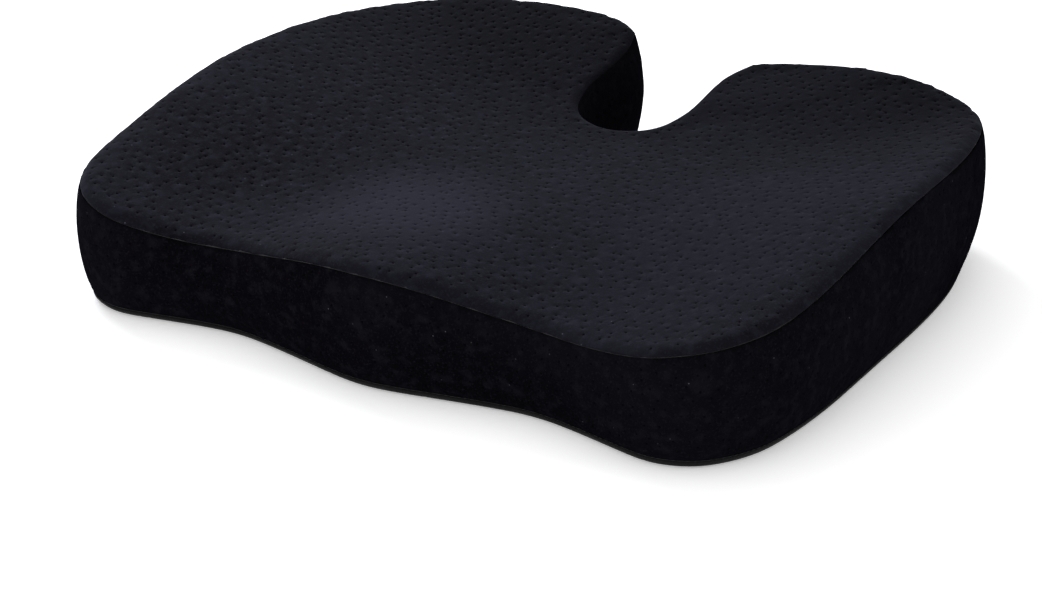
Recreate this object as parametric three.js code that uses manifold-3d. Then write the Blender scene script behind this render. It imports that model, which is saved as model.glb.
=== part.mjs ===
// A contoured, U-shaped memory-foam seat cushion in a zipped cover.
//
// Millimetres, +Z up. The front edge, where the thighs rest, faces -Y and the tailbone notch opens at +Y.
// The origin is under the middle of the overall box, on the plane that the cushion rests on.
//
// The cushion's skin is described by stations round the outline and by a profile at each station, from the
// flat underside over the bulging side to the crowned top. Every layer, from the cover's outer face to the
// foam, is that same skin at another depth, so the layers stay nested when a size changes.

import * as THREE from "three";
import { mergeVertices } from "three/addons/utils/BufferGeometryUtils.js";
import Module from "manifold-3d";

// ---- Driving dimensions: the outline seen from above ----
const WIDTH = 435; // side to side
const DEPTH = 358; // front to back
const SCOOP_X = 90; // from the centre line to the deepest point of each thigh scoop
const SCOOP_DEPTH = 16; // how far a thigh scoop cuts into the front edge
const FRONT_CORNER = { across: 53, along: 76, setback: 4 }; // half axes of the corner, and its distance behind the pommel
const SIDE_FLARE_Y = 140; // from the front edge to the widest point of the side
const SIDE_TAPER = 3; // how much the side stands in again where the front corner ends
const REAR_CORNER = { across: 86, along: 84, inset: 6, setback: 3 }; // half axes, and how far it stands in from the box
const NOTCH_WIDTH = 57; // at the straight walls
const NOTCH_DEPTH = 108; // from the back edge to the notch's round end
const NOTCH_END = { across: 28, along: 26 }; // half axes of the round end
const LOBE_CORNER = 33; // radius between a notch wall and the back edge

// ---- Driving dimensions: heights ----
const SEAT_HEIGHT = 58; // lowest part of the seat
const SIDE_RISE = 31; // rim above the seat at the sides
const SIDE_CURVE = 1.8; // how late the side rises: 1 is a straight slope
const REAR_RISE = { side: 32, notch: 29.5 }; // rim above the seat at the back edge
const REAR_RISE_LENGTH = 127; // from the back edge to where that slope starts
const FRONT_HEIGHT = 59.5; // mean height along the front edge
const FRONT_WAVE = 7; // the pommel stands this much over the mean and the thigh grooves this much under it
const GROOVE_X = 105; // from the centre line to each thigh groove
const FRONT_BLEND = 195; // length over which the front's wave fades into the seat
const RISE_BLEND = 7; // softness of the corner where the side rise meets the back rise

// ---- Driving dimensions: the edges ----
const EDGE_RADIUS = 11; // round edge of the top
const TOP_TUCK = { side: 3, notch: 5 }; // the top seam lies this far in from the widest line of the side
const BOTTOM_TUCK = { side: 9, front: 5 }; // the bottom seam lies this far in
const BOTTOM_EDGE = 4; // further in to where the underside is flat
const WIDEST = 0.55; // height of the side's widest line, as a share of the band's height
const BOTTOM_SEAM_Z = 4; // the bottom panel wraps up to here

// ---- Driving dimensions: materials and clearances ----
const COVER_THICKNESS = 2; // laminated velour of the top and the side bands
const BOTTOM_THICKNESS = 1.6; // non-slip bottom fabric
const CLEARANCE = 0.35; // between neighbouring pieces
const FOAM_GAP = 0.65; // between the foam and the inside of its cover
const THREAD = 0.8; // width of a seam's line of thread

// ---- Driving dimensions: the zip across the underside ----
const ZIP_Y = -40; // the zip's line, measured from the middle of the cushion
const ZIP_TRAVEL = 300; // how far the slider runs
const SLIDER = { length: 11, width: 8.8, plate: 1, flange: 0.8, neck: 1, neckLength: 2 };
const COIL = { width: 2.4, height: 2.1 }; // one half of the chain
const TAPE = { width: 11, thickness: 0.6 }; // one tape
const STOP_LENGTH = 3; // top and bottom stops
const STOP_GAP = 1.5; // between the slider at its limit and a stop
const TAPE_TAIL = 24; // tape beyond each stop, where the cushion is wide enough
const VALLEY_MARGIN = 8; // flat fabric between the valley's end and the bottom's rounded rim
const PULL = { length: 24, width: 7, thickness: 1.2, eye: 6, arm: 1.2 };
const CROWN = { length: 6.8, width: 2.2, bar: 0.7, leg: 0.8, inside: 1.7 }; // loop that holds the pull
const VALLEY_FLOOR = 3; // the pull's and crown's room below the slider's outer plate
const HEM = { lip: 4, slope: 4, gap: 6.2 }; // folded edge: width of its flat, run of its slope, half the opening

// ---- Resolution ----
const LONG_STEPS = 26; // stations from the pommel to the rear corner, and from the lobe corner to the notch's end
const SHORT_STEPS = 8; // stations along a lobe's back edge
const CORNER_WEIGHT = 40; // a radian of turn draws stations together as if the edge were this much longer
const HALF = 2 * LONG_STEPS + SHORT_STEPS;
const STATIONS = 2 * HALF;

const wasm = await Module();
wasm.setup();

// =====================================================================================================
// The outline
// =====================================================================================================

// Points on an elliptical corner, from one angle to another in degrees.
function corner(x, y, across, along, from, to, steps) {
  return Array.from({ length: steps + 1 }, (_, i) => {
    const a = THREE.MathUtils.degToRad(from + ((to - from) * i) / steps);
    return new THREE.Vector3(x + across * Math.cos(a), y + along * Math.sin(a), 0);
  });
}

// The right half's knots, from the pommel round the side and the lobe to the notch's end.
function halfKnots() {
  const side = WIDTH / 2;
  const front = -DEPTH / 2;
  const back = DEPTH / 2;
  const wave = (x) => front + (SCOOP_DEPTH * (1 - Math.cos((Math.PI * x) / SCOOP_X))) / 2;
  const f = FRONT_CORNER;
  const r = REAR_CORNER;
  const frontKnots = [0, 0.5, 1, 1.42].map((k) => new THREE.Vector3(k * SCOOP_X, wave(k * SCOOP_X), 0));
  const cornerX = side - SIDE_TAPER - f.across;
  const cornerY = front + f.setback + f.along;
  const rearX = side - r.inset - r.across;
  const rearY = back - r.setback - r.along;
  const lobeX = NOTCH_WIDTH / 2 + LOBE_CORNER;
  const notchY = back - NOTCH_DEPTH + NOTCH_END.along;
  return {
    toRearCorner: [
      ...frontKnots,
      ...corner(cornerX, cornerY, f.across, f.along, -90, 0, 3),
      new THREE.Vector3(side, front + SIDE_FLARE_Y, 0),
      ...corner(rearX, rearY, r.across, r.along, 0, 45, 1),
    ],
    toLobeCorner: [
      ...corner(rearX, rearY, r.across, r.along, 90, 90, 1).slice(1),
      ...corner(lobeX, back - LOBE_CORNER, LOBE_CORNER, LOBE_CORNER, 90, 135, 1),
    ],
    toNotchEnd: [
      ...corner(lobeX, back - LOBE_CORNER, LOBE_CORNER, LOBE_CORNER, 180, 180, 1).slice(1),
      ...corner(0, notchY, NOTCH_END.across, NOTCH_END.along, 0, -90, 2),
    ],
  };
}

// The outline's right half as points evenly spaced in each of its three stretches.
function halfStations() {
  const k = halfKnots();
  const right = [...k.toRearCorner, ...k.toLobeCorner, ...k.toNotchEnd];
  const left = right.slice(1, -1).reverse().map((p) => new THREE.Vector3(-p.x, p.y, 0));
  const curve = new THREE.CatmullRomCurve3([...right, ...left], true, "centripetal");
  const knotCount = right.length + left.length;
  const stretch = (fromKnot, toKnot, steps) => {
    const fine = 40 * (toKnot - fromKnot);
    const points = Array.from({ length: fine + 1 }, (_, i) =>
      curve.getPoint((fromKnot + ((toKnot - fromKnot) * i) / fine) / knotCount),
    );
    const run = [0];
    for (let i = 1; i <= fine; i++) {
      const ahead = points[Math.min(i + 1, fine)].clone().sub(points[i]);
      const behind = points[i].clone().sub(points[i - 1]);
      const turn = i < fine ? ahead.angleTo(behind) : 0;
      run.push(run[i - 1] + behind.length() + CORNER_WEIGHT * turn);
    }
    return Array.from({ length: steps + 1 }, (_, i) => {
      const want = (run[fine] * i) / steps;
      const at = Math.max(1, run.findIndex((d) => d >= want - 1e-9));
      return points[at - 1].clone().lerp(points[at], (want - run[at - 1]) / (run[at] - run[at - 1]));
    });
  };
  const rear = k.toRearCorner.length - 1;
  const lobe = rear + k.toLobeCorner.length;
  return [
    ...stretch(0, rear, LONG_STEPS),
    ...stretch(rear, lobe, SHORT_STEPS).slice(1),
    ...stretch(lobe, right.length - 1, LONG_STEPS).slice(1),
  ];
}

const rightHalf = halfStations();
const outlineMiddle = (Math.max(...rightHalf.map((p) => p.y)) + Math.min(...rightHalf.map((p) => p.y))) / 2;

// The outline at a station, which may lie between two. Station 0 is the pommel and it runs anticlockwise.
function planPoint(station) {
  const around = THREE.MathUtils.euclideanModulo(station, STATIONS);
  const mirrored = around > HALF;
  const t = mirrored ? STATIONS - around : around;
  const i = Math.min(Math.floor(t), HALF - 1);
  const p = rightHalf[i].clone().lerp(rightHalf[i + 1], t - i);
  return new THREE.Vector2(mirrored ? -p.x : p.x, p.y - outlineMiddle);
}

function planNormal(station) {
  const along = planPoint(station + 1).sub(planPoint(station - 1)).normalize();
  return new THREE.Vector2(along.y, -along.x);
}

// The outline at a station, moved in towards the cushion.
const inset = (station, distance) => planPoint(station).addScaledVector(planNormal(station), -distance);

// =====================================================================================================
// The skin
// =====================================================================================================

const smooth = THREE.MathUtils.smoothstep;

// Height of the crowned top, apart from its round edge.
function topHeight(x, y) {
  const back = DEPTH / 2;
  const aside = Math.min(1, Math.abs(x) / (WIDTH / 2));
  const sideRise = SIDE_RISE * Math.pow(aside, SIDE_CURVE);
  const climb = Math.max(0, y - back + REAR_RISE_LENGTH) / REAR_RISE_LENGTH;
  const rearRise = THREE.MathUtils.lerp(REAR_RISE.notch, REAR_RISE.side, aside) * climb;
  const over = Math.max(0, RISE_BLEND - Math.abs(sideRise - rearRise));
  const seat = SEAT_HEIGHT + Math.max(sideRise, rearRise) + (over * over) / (4 * RISE_BLEND);
  const front = FRONT_HEIGHT + FRONT_WAVE * Math.cos((Math.PI * x) / GROOVE_X);
  const share = smooth(-y, back - FRONT_BLEND, back);
  return THREE.MathUtils.lerp(seat, front, share);
}

// How far the round edge lies under the top, at a distance in from the widest line.
const edgeDrop = (d) => EDGE_RADIUS * (1 - Math.sqrt(1 - Math.max(0, 1 - d / EDGE_RADIUS) ** 2));

// The round edge's rings, as shares of the way from the seam to where the top is plain.
const EDGE_SHARES = [0, 0.3, 0.62, 1];
// The side band's rings, as shares of its height.
const BAND_RINGS = [0, 0.14, 0.3, WIDEST, 0.75, 0.89, 1];

// How far in the bottom seam lies at a station: less along the front edge than along the sides.
function bottomTuck(station) {
  return THREE.MathUtils.lerp(BOTTOM_TUCK.side, BOTTOM_TUCK.front, Math.max(0, -planNormal(station).y));
}

// How far in the top seam lies at a station: more round the notch than elsewhere.
function topTuck(station) {
  const fromEnd = Math.abs(THREE.MathUtils.euclideanModulo(station, STATIONS) - HALF);
  const share = smooth(fromEnd, LONG_STEPS - 9, LONG_STEPS + 5);
  return THREE.MathUtils.lerp(TOP_TUCK.notch, TOP_TUCK.side, share);
}

// The widest line stands at WIDEST of the height; below it the side pulls in to the bottom seam, and above it
// to the top seam.
function bandInset(share, lower, upper) {
  return share < WIDEST ? lower * (1 - share / WIDEST) ** 2 : upper * ((share - WIDEST) / (1 - WIDEST)) ** 2.5;
}

// The profile at a station: [distance in from the outline, height], from the underside to the plain top.
function profile(station) {
  const heightAt = (d) => {
    const p = inset(station, d);
    return topHeight(p.x, p.y) - edgeDrop(d);
  };
  const upper = topTuck(station);
  const seamZ = heightAt(upper);
  const tuck = bottomTuck(station);
  const edge = EDGE_SHARES.map((share) => THREE.MathUtils.lerp(upper, EDGE_RADIUS, share));
  return {
    bottom: [
      [tuck + BOTTOM_EDGE, 0],
      [tuck + 0.3 * BOTTOM_EDGE, 0.22 * BOTTOM_SEAM_Z],
      [tuck, BOTTOM_SEAM_Z],
    ],
    band: BAND_RINGS.map((s) => [bandInset(s, tuck, upper), THREE.MathUtils.lerp(BOTTOM_SEAM_Z, seamZ, s)]),
    edge: edge.map((d) => [d, heightAt(d)]),
  };
}

// A profile's points in space at a depth under the skin. The two neighbours of a point give its slope.
function layer(station, points, depth, before, after) {
  const run = [before ?? points[0], ...points, after ?? points.at(-1)];
  return points.map(([d, z], i) => {
    const slope = new THREE.Vector2(run[i][0] - run[i + 2][0], run[i + 2][1] - run[i][1]).normalize();
    const p = inset(station, d + depth * slope.y);
    return new THREE.Vector3(p.x, p.y, z + depth * slope.x);
  });
}

const stationList = Array.from({ length: STATIONS }, (_, i) => i);

// One ring per profile point, each a loop of points round the cushion.
function rings(part, depth, trim = [0, 0]) {
  const columns = stationList.map((s) => {
    const shape = profile(s);
    const whole = [...shape.bottom, ...shape.band.slice(1), ...shape.edge.slice(1)];
    const first = { bottom: 0, band: shape.bottom.length - 1, edge: shape.bottom.length + shape.band.length - 2 }[part];
    const points = shape[part];
    const flat = [points[0][0] + 1, points[0][1]];
    const level = [points.at(-1)[0] + 1, points.at(-1)[1]];
    const before = first === 0 ? flat : whole[first - 1];
    const after = part === "edge" ? level : whole[first + points.length];
    const column = layer(s, points, depth, before, after);
    return trimEnds(column, trim);
  });
  return columns[0].map((_, ring) => columns.map((column) => column[ring]));
}

// A column of points shortened at its two ends, where a seam lies.
function trimEnds(column, [start, end]) {
  const cut = column.map((p) => p.clone());
  if (start) cut[0].lerp(column[1], start / column[0].distanceTo(column[1]));
  if (end) cut[cut.length - 1].lerp(column.at(-2), end / column.at(-1).distanceTo(column.at(-2)));
  return cut;
}

// =====================================================================================================
// Meshes
// =====================================================================================================

class Builder {
  constructor() {
    this.points = [];
    this.faces = [];
  }
  add(points) {
    const from = this.points.length;
    this.points.push(...points);
    return points.map((_, i) => from + i);
  }
  quad(a, b, c, d) {
    this.faces.push([a, b, c], [a, c, d]);
  }
  // Joins two loops that run the same way; the second lies further along the surface.
  band(loop, next) {
    const n = loop.length;
    for (let i = 0; i < n; i++) this.quad(loop[i], loop[(i + 1) % n], next[(i + 1) % n], next[i]);
  }
  // Fills a flat loop: strips run from the outer side of the horseshoe to the notch, with a fan in each lobe.
  flatCap(loop, upwards) {
    const at = (i) => loop[THREE.MathUtils.euclideanModulo(i, STATIONS)];
    const face = (...corners) => this.faces.push(upwards ? corners : corners.reverse());
    for (let i = -LONG_STEPS; i < LONG_STEPS; i++) {
      const across = STATIONS / 2 - i;
      face(at(i), at(i + 1), at(across - 1));
      face(at(i), at(across - 1), at(across));
    }
    for (const first of [LONG_STEPS, -LONG_STEPS - SHORT_STEPS])
      for (let j = 1; j < SHORT_STEPS; j++) face(at(first), at(first + j), at(first + j + 1));
  }
  // Fills the crowned top inside a loop: rows run from the outer side of the horseshoe to the notch.
  crownedCap(loop, depth, upwards) {
    const rows = 2 * LONG_STEPS;
    const at = (i) => loop[THREE.MathUtils.euclideanModulo(i, STATIONS)];
    const outer = (i) => at(i - LONG_STEPS);
    const inner = (i) => at(STATIONS / 2 + LONG_STEPS - i);
    const rightEnd = (j) => at(LONG_STEPS + j);
    const leftEnd = (j) => at(-LONG_STEPS - j);
    const grid = [];
    for (let i = 0; i <= rows; i++) {
      const line = [];
      for (let j = 0; j <= SHORT_STEPS; j++) {
        if (j === 0) line.push(outer(i));
        else if (j === SHORT_STEPS) line.push(inner(i));
        else if (i === 0) line.push(leftEnd(j));
        else if (i === rows) line.push(rightEnd(j));
        else {
          const u = i / rows;
          const v = j / SHORT_STEPS;
          const mix = (pick) => {
            const q = (index) => pick(this.points[index]);
            const sides = (1 - v) * q(outer(i)) + v * q(inner(i)) + (1 - u) * q(leftEnd(j)) + u * q(rightEnd(j));
            const nearEnds = (1 - u) * ((1 - v) * q(outer(0)) + v * q(inner(0)));
            const farEnds = u * ((1 - v) * q(outer(rows)) + v * q(inner(rows)));
            return sides - nearEnds - farEnds;
          };
          line.push(this.add([crown(mix((p) => p.x), mix((p) => p.y), depth)])[0]);
        }
      }
      grid.push(line);
    }
    for (let i = 0; i < rows; i++)
      for (let j = 0; j < SHORT_STEPS; j++) {
        const [a, b, c, d] = [grid[i][j], grid[i + 1][j], grid[i + 1][j + 1], grid[i][j + 1]];
        upwards ? this.quad(a, b, c, d) : this.quad(a, d, c, b);
      }
  }
  solid() {
    return solidFrom(this.points.flatMap((p) => [p.x, p.y, p.z]), this.faces.flat());
  }
}

// A point of the top at a depth under it.
function crown(x, y, depth) {
  const step = 0.5;
  const slopeX = (topHeight(x + step, y) - topHeight(x - step, y)) / (2 * step);
  const slopeY = (topHeight(x, y + step) - topHeight(x, y - step)) / (2 * step);
  const stretch = Math.hypot(1, slopeX, slopeY);
  return new THREE.Vector3(x, y, topHeight(x, y) - depth * stretch);
}

// A manifold-3d solid from flat lists of coordinates and corner numbers.
function solidFrom(coordinates, corners) {
  return new wasm.Manifold(
    new wasm.Mesh({
      numProp: 3,
      vertProperties: new Float32Array(coordinates),
      triVerts: new Uint32Array(corners),
    }),
  );
}

function solidOf(geometry) {
  const bare = geometry.clone();
  bare.deleteAttribute("normal");
  bare.deleteAttribute("uv");
  const merged = mergeVertices(bare, 1e-4);
  return solidFrom(merged.attributes.position.array, merged.index.array);
}

function geometryOf(solid) {
  const mesh = solid.getMesh();
  const geometry = new THREE.BufferGeometry();
  geometry.setAttribute("position", new THREE.BufferAttribute(Float32Array.from(mesh.vertProperties), 3));
  geometry.setIndex(Array.from(mesh.triVerts));
  geometry.computeVertexNormals();
  return geometry;
}

// A box from its lowest corner to its highest one.
function block(low, high) {
  const size = high.map((h, i) => h - low[i]);
  const box = new THREE.BoxGeometry(...size);
  return solidOf(box.translate(...high.map((h, i) => (h + low[i]) / 2)));
}

// An outline in Y and Z, drawn out along X.
function bar(outlineYZ, fromX, toX) {
  const shape = new THREE.Shape(outlineYZ.map(([y, z]) => new THREE.Vector2(y, z)));
  const drawn = new THREE.ExtrudeGeometry(shape, { depth: toX - fromX, bevelEnabled: false });
  const turn = new THREE.Matrix4().set(0, 0, 1, fromX, 1, 0, 0, 0, 0, 1, 0, 0, 0, 0, 0, 1);
  return solidOf(drawn.applyMatrix4(turn));
}

const joined = (first, ...others) => others.reduce((whole, piece) => whole.add(piece), first);

// =====================================================================================================
// Foam and cover
// =====================================================================================================

// Rings of the whole skin at a depth, from the flat underside to the plain top.
function wholeSkin(depth) {
  const bottom = rings("bottom", depth);
  const band = rings("band", depth);
  const edge = rings("edge", depth);
  return [...bottom, ...band.slice(1), ...edge.slice(1)];
}

function makeFoamCore() {
  const builder = new Builder();
  const loops = wholeSkin(COVER_THICKNESS + FOAM_GAP).map((ring) => builder.add(ring));
  builder.flatCap(loops[0], false);
  for (let i = 1; i < loops.length; i++) builder.band(loops[i - 1], loops[i]);
  builder.crownedCap(loops.at(-1), COVER_THICKNESS + FOAM_GAP, true);
  return builder.solid().subtract(zipChannel());
}

function makeTopPanel() {
  const builder = new Builder();
  const seam = [THREAD / 2 + CLEARANCE, 0];
  const outer = rings("edge", 0, seam).map((ring) => builder.add(ring));
  const inner = rings("edge", COVER_THICKNESS, seam).map((ring) => builder.add(ring));
  builder.crownedCap(inner.at(-1), COVER_THICKNESS, false);
  for (let i = inner.length - 1; i > 0; i--) builder.band(inner[i], inner[i - 1]);
  builder.band(inner[0], outer[0]);
  for (let i = 1; i < outer.length; i++) builder.band(outer[i - 1], outer[i]);
  builder.crownedCap(outer.at(-1), 0, true);
  return builder.solid();
}

// One length of side band, between two stations, with a seam's gap at both ends.
function makeBand(fromStation, toStation) {
  const seam = [THREAD / 2 + CLEARANCE, THREAD / 2 + CLEARANCE];
  const sections = [];
  for (let s = fromStation; s <= toStation; s++) {
    const shape = profile(s);
    const before = shape.bottom.at(-2);
    const after = shape.edge[1];
    sections.push({
      outer: trimEnds(layer(s, shape.band, 0, before, after), seam),
      inner: trimEnds(layer(s, shape.band, COVER_THICKNESS, before, after), seam),
    });
  }
  const drawBack = (end, next) => {
    const share = CLEARANCE / end.inner[0].distanceTo(next.inner[0]);
    for (const side of ["outer", "inner"]) end[side].forEach((p, i) => p.lerp(next[side][i], share));
  };
  drawBack(sections[0], sections[1]);
  drawBack(sections.at(-1), sections.at(-2));
  const builder = new Builder();
  const loops = sections.map(({ outer, inner }) => builder.add([...outer, ...inner.reverse()]));
  for (let i = 1; i < loops.length; i++) builder.band(loops[i], loops[i - 1]);
  const count = loops[0].length;
  const close = (loop, flip) => {
    for (let i = 0; i < count / 2 - 1; i++) {
      const q = [loop[i], loop[i + 1], loop[count - 2 - i], loop[count - 1 - i]];
      builder.quad(...(flip ? q.reverse() : q));
    }
  };
  close(loops[0], false);
  close(loops.at(-1), true);
  return builder.solid();
}

// The bottom fabric before the zip divides it: a flat panel whose rim wraps up to the bottom seam.
function makeBottomTray() {
  const builder = new Builder();
  const seam = [0, THREAD / 2 + CLEARANCE];
  const outer = rings("bottom", 0, seam).map((ring) => builder.add(ring));
  const inner = rings("bottom", BOTTOM_THICKNESS, seam).map((ring) => builder.add(ring));
  builder.flatCap(outer[0], false);
  for (let i = 1; i < outer.length; i++) builder.band(outer[i - 1], outer[i]);
  builder.band(outer.at(-1), inner.at(-1));
  for (let i = inner.length - 1; i > 0; i--) builder.band(inner[i], inner[i - 1]);
  builder.flatCap(inner[0], true);
  return builder.solid();
}

// A line of thread lying in a seam all round the cushion, half its width under the skin.
function makeSeamThread(ringPoint) {
  const builder = new Builder();
  const half = THREAD / 2;
  const loops = [[half, 0], [0, half], [-half, 0], [0, -half]].map(([out, up]) =>
    builder.add(
      stationList.map((s) => {
        const [d, z] = ringPoint(s);
        const p = inset(s, d + half - out);
        return new THREE.Vector3(p.x, p.y, z + up);
      }),
    ),
  );
  for (let i = 0; i < loops.length; i++) builder.band(loops[i], loops[(i + 1) % loops.length]);
  return builder.solid();
}

// =====================================================================================================
// The zip. It lies in a valley across the underside, so that nothing of it touches the seat.
// =====================================================================================================

const crownBottom = 0.5;
const pivotZ = crownBottom + CROWN.bar + CROWN.inside / 2;
const plateZ = crownBottom + VALLEY_FLOOR - SLIDER.plate + CROWN.bar; // outer face of the slider's outer plate
const coilZ = plateZ + SLIDER.plate + CLEARANCE;
const tapeZ = coilZ + COIL.height + CLEARANCE;
const innerPlateZ = tapeZ + TAPE.thickness + CLEARANCE;
const channelTop = innerPlateZ + SLIDER.plate + 1;
const hemTop = tapeZ - CLEARANCE;

const sliderX = ZIP_TRAVEL / 2; // where the slider stands with the zip closed
const chainEnd = sliderX + SLIDER.length / 2 + STOP_GAP;
const flatHalf = WIDTH / 2 - SIDE_TAPER - BOTTOM_TUCK.side - BOTTOM_EDGE;
const valleyEnd = Math.min(chainEnd + STOP_LENGTH + TAPE_TAIL + 2, flatHalf - VALLEY_MARGIN);
const tapeEnd = valleyEnd - 2;
const coilInner = SLIDER.neck / 2 + CLEARANCE;
const coilOuter = coilInner + COIL.width;
const plateHalf = SLIDER.width / 2;

// Room in the foam for the raised hems, the tapes and the slider.
function zipChannel() {
  const foot = HEM.gap + HEM.lip + HEM.slope + 2.5;
  const roof = coilInner + TAPE.width + 1.5;
  const outline = [
    [-foot, -1],
    [foot, -1],
    [foot, BOTTOM_THICKNESS + CLEARANCE],
    [roof, channelTop],
    [-roof, channelTop],
    [-foot, BOTTOM_THICKNESS + CLEARANCE],
  ].map(([y, z]) => [ZIP_Y + y, z]);
  return bar(outline, -valleyEnd - 4, valleyEnd + 4);
}

// One half of the bottom fabric, with its hem and the walls that close the valley's ends. side is 1 behind
// the zip and -1 in front of it.
function makeBottomPanel(tray, side) {
  const reach = WIDTH + DEPTH;
  const edge = (distance) => ZIP_Y + side * distance;
  const slab = (near, far, endX, low, high) =>
    block([-endX, Math.min(edge(near), edge(far)), low], [endX, Math.max(edge(near), edge(far)), high]);
  const foot = HEM.gap + HEM.lip + HEM.slope;
  const flat = tray
    .intersect(slab(CLEARANCE / 2, reach, reach, -1, 2 * BOTTOM_SEAM_Z))
    .subtract(slab(-1, foot + 1, valleyEnd, -1, 2 * BOTTOM_SEAM_Z));
  const thick = BOTTOM_THICKNESS;
  const turn = thick * Math.tan(Math.atan2(hemTop - thick, HEM.slope) / 2); // what a fold adds to the upper face
  const hem = [
    [foot + 2, 0],
    [foot, 0],
    [HEM.gap + HEM.lip, hemTop - thick],
    [HEM.gap, hemTop - thick],
    [HEM.gap, hemTop],
    [HEM.gap + HEM.lip + turn, hemTop],
    [foot + turn, thick],
    [foot + 2, thick],
  ].map(([y, z]) => [edge(y), z]);
  const wall = [
    [CLEARANCE / 2, 0],
    [foot + turn, 0],
    [foot + turn, thick],
    [HEM.gap + HEM.lip + turn, hemTop],
    [CLEARANCE / 2, hemTop],
  ].map(([y, z]) => [edge(y), z]);
  const ends = [-1, 1].map((end) => {
    const across = [end * (valleyEnd - thick), end * (valleyEnd + 0.5)].sort((a, b) => a - b);
    return bar(wall, ...across);
  });
  return joined(flat, bar(hem, -valleyEnd, valleyEnd), ...ends);
}

const makeTape = (side) => {
  const edges = [ZIP_Y + side * coilInner, ZIP_Y + side * (coilInner + TAPE.width)].sort((a, b) => a - b);
  return block([-tapeEnd, edges[0], tapeZ], [tapeEnd, edges[1], tapeZ + TAPE.thickness]);
};

const makeCoil = (side) => {
  const edges = [ZIP_Y + side * coilInner, ZIP_Y + side * coilOuter].sort((a, b) => a - b);
  const end = chainEnd - CLEARANCE;
  return block([-end, edges[0], coilZ], [end, edges[1], coilZ + COIL.height]);
};

// A top stop closes one coil's end; the bottom stop holds both coils together.
const makeTopStop = (side) => {
  const edges = [ZIP_Y + side * coilInner, ZIP_Y + side * (coilOuter + CLEARANCE)].sort((a, b) => a - b);
  return block([chainEnd, edges[0], coilZ - 0.2], [chainEnd + STOP_LENGTH, edges[1], coilZ + COIL.height]);
};

const makeBottomStop = () => {
  const half = coilOuter + CLEARANCE;
  return block([-chainEnd - STOP_LENGTH, ZIP_Y - half, coilZ - 0.2], [-chainEnd, ZIP_Y + half, coilZ + COIL.height]);
};

// A patch that covers the tapes' ends.
const makeEndTab = (side) => {
  const from = (chainEnd + STOP_LENGTH + tapeEnd) / 2;
  const ends = [side * from, side * tapeEnd].sort((a, b) => a - b);
  const half = HEM.gap - CLEARANCE;
  return block([ends[0], ZIP_Y - half, hemTop - 1.2], [ends[1], ZIP_Y + half, hemTop]);
};

// The row of stitches that holds a hem to its tape, on the hem's outer face.
const makeHemThread = (side) => {
  const middle = ZIP_Y + side * (HEM.gap + HEM.lip / 2);
  const top = hemTop - BOTTOM_THICKNESS - CLEARANCE;
  return block([-tapeEnd, middle - THREAD / 2, top - THREAD / 2], [tapeEnd, middle + THREAD / 2, top]);
};

// Two plates joined by a neck, with flanges that guide the chain and a crown that holds the pull.
function makeSlider() {
  const half = SLIDER.length / 2;
  const outerTop = plateZ + SLIDER.plate;
  const at = (low, high) => block([sliderX + low[0], ZIP_Y + low[1], low[2]], [sliderX + high[0], ZIP_Y + high[1], high[2]]);
  const bite = 0.1; // the parts of the casting run into each other by this much
  const plates = [
    at([-half, -plateHalf, plateZ], [half, plateHalf, outerTop]),
    at([-half, -plateHalf, innerPlateZ], [half, plateHalf, innerPlateZ + SLIDER.plate]),
  ];
  const neckX = half - 1;
  const neck = at(
    [neckX - SLIDER.neckLength, -SLIDER.neck / 2, outerTop - bite],
    [neckX, SLIDER.neck / 2, innerPlateZ + bite],
  );
  const flanges = [-1, 1].map((side) => {
    const across = [side * plateHalf, side * (plateHalf - SLIDER.flange)].sort((a, b) => a - b);
    return at([-half, across[0], outerTop - bite], [half, across[1], tapeZ - CLEARANCE]);
  });
  const crownHalf = CROWN.length / 2;
  const loop = at([-crownHalf, -CROWN.width / 2, crownBottom], [crownHalf, CROWN.width / 2, plateZ + bite]);
  const eye = at(
    [-crownHalf + CROWN.leg, -CROWN.width, crownBottom + CROWN.bar],
    [crownHalf - CROWN.leg, CROWN.width, crownBottom + CROWN.bar + CROWN.inside],
  );
  return joined(plates[0], plates[1], neck, ...flanges, loop.subtract(eye));
}

// A flat tab whose eye turns on a round bar inside the crown.
function makePull() {
  const half = PULL.thickness / 2;
  const halfWidth = PULL.width / 2;
  const armOuter = CROWN.width / 2 + CLEARANCE * 2 + PULL.arm;
  const armInner = armOuter - PULL.arm;
  const rod = (reach, radius) => {
    const turned = new THREE.CylinderGeometry(radius, radius, 2 * reach, 16);
    return solidOf(turned.translate(sliderX, ZIP_Y, pivotZ));
  };
  const slab = (fromX, toX, reach) =>
    block([sliderX - toX, ZIP_Y - reach, pivotZ - half], [sliderX - fromX, ZIP_Y + reach, pivotZ + half]);
  const eye = block(
    [sliderX - PULL.eye, ZIP_Y - armInner, pivotZ - 2 * half],
    [sliderX, ZIP_Y + armInner, pivotZ + 2 * half],
  );
  const arms = joined(slab(0, PULL.eye + 1, armOuter), rod(armOuter, half)).subtract(eye);
  const trimmed = arms.subtract(
    block([sliderX - 0.1, ZIP_Y - armInner, pivotZ - 2 * half], [sliderX + 2, ZIP_Y + armInner, pivotZ + 2 * half]),
  );
  const pivot = rod(armInner + 0.1, half * 0.9);
  return joined(trimmed, pivot, slab(PULL.eye, PULL.length, halfWidth));
}

// =====================================================================================================
// The assembly
// =====================================================================================================

const cushion = new THREE.Group();

const finishes = {
  foam: { color: "#e8e2d2", roughness: 0.9, metalness: 0 },
  velour: { color: "#16171c", roughness: 0.95, metalness: 0 },
  bottomFabric: { color: "#1b1c20", roughness: 0.8, metalness: 0 },
  tape: { color: "#17181b", roughness: 0.85, metalness: 0 },
  coil: { color: "#141416", roughness: 0.4, metalness: 0 },
  slider: { color: "#2a2b2e", roughness: 0.35, metalness: 0.8 },
  thread: { color: "#101114", roughness: 0.7, metalness: 0 },
};

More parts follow.
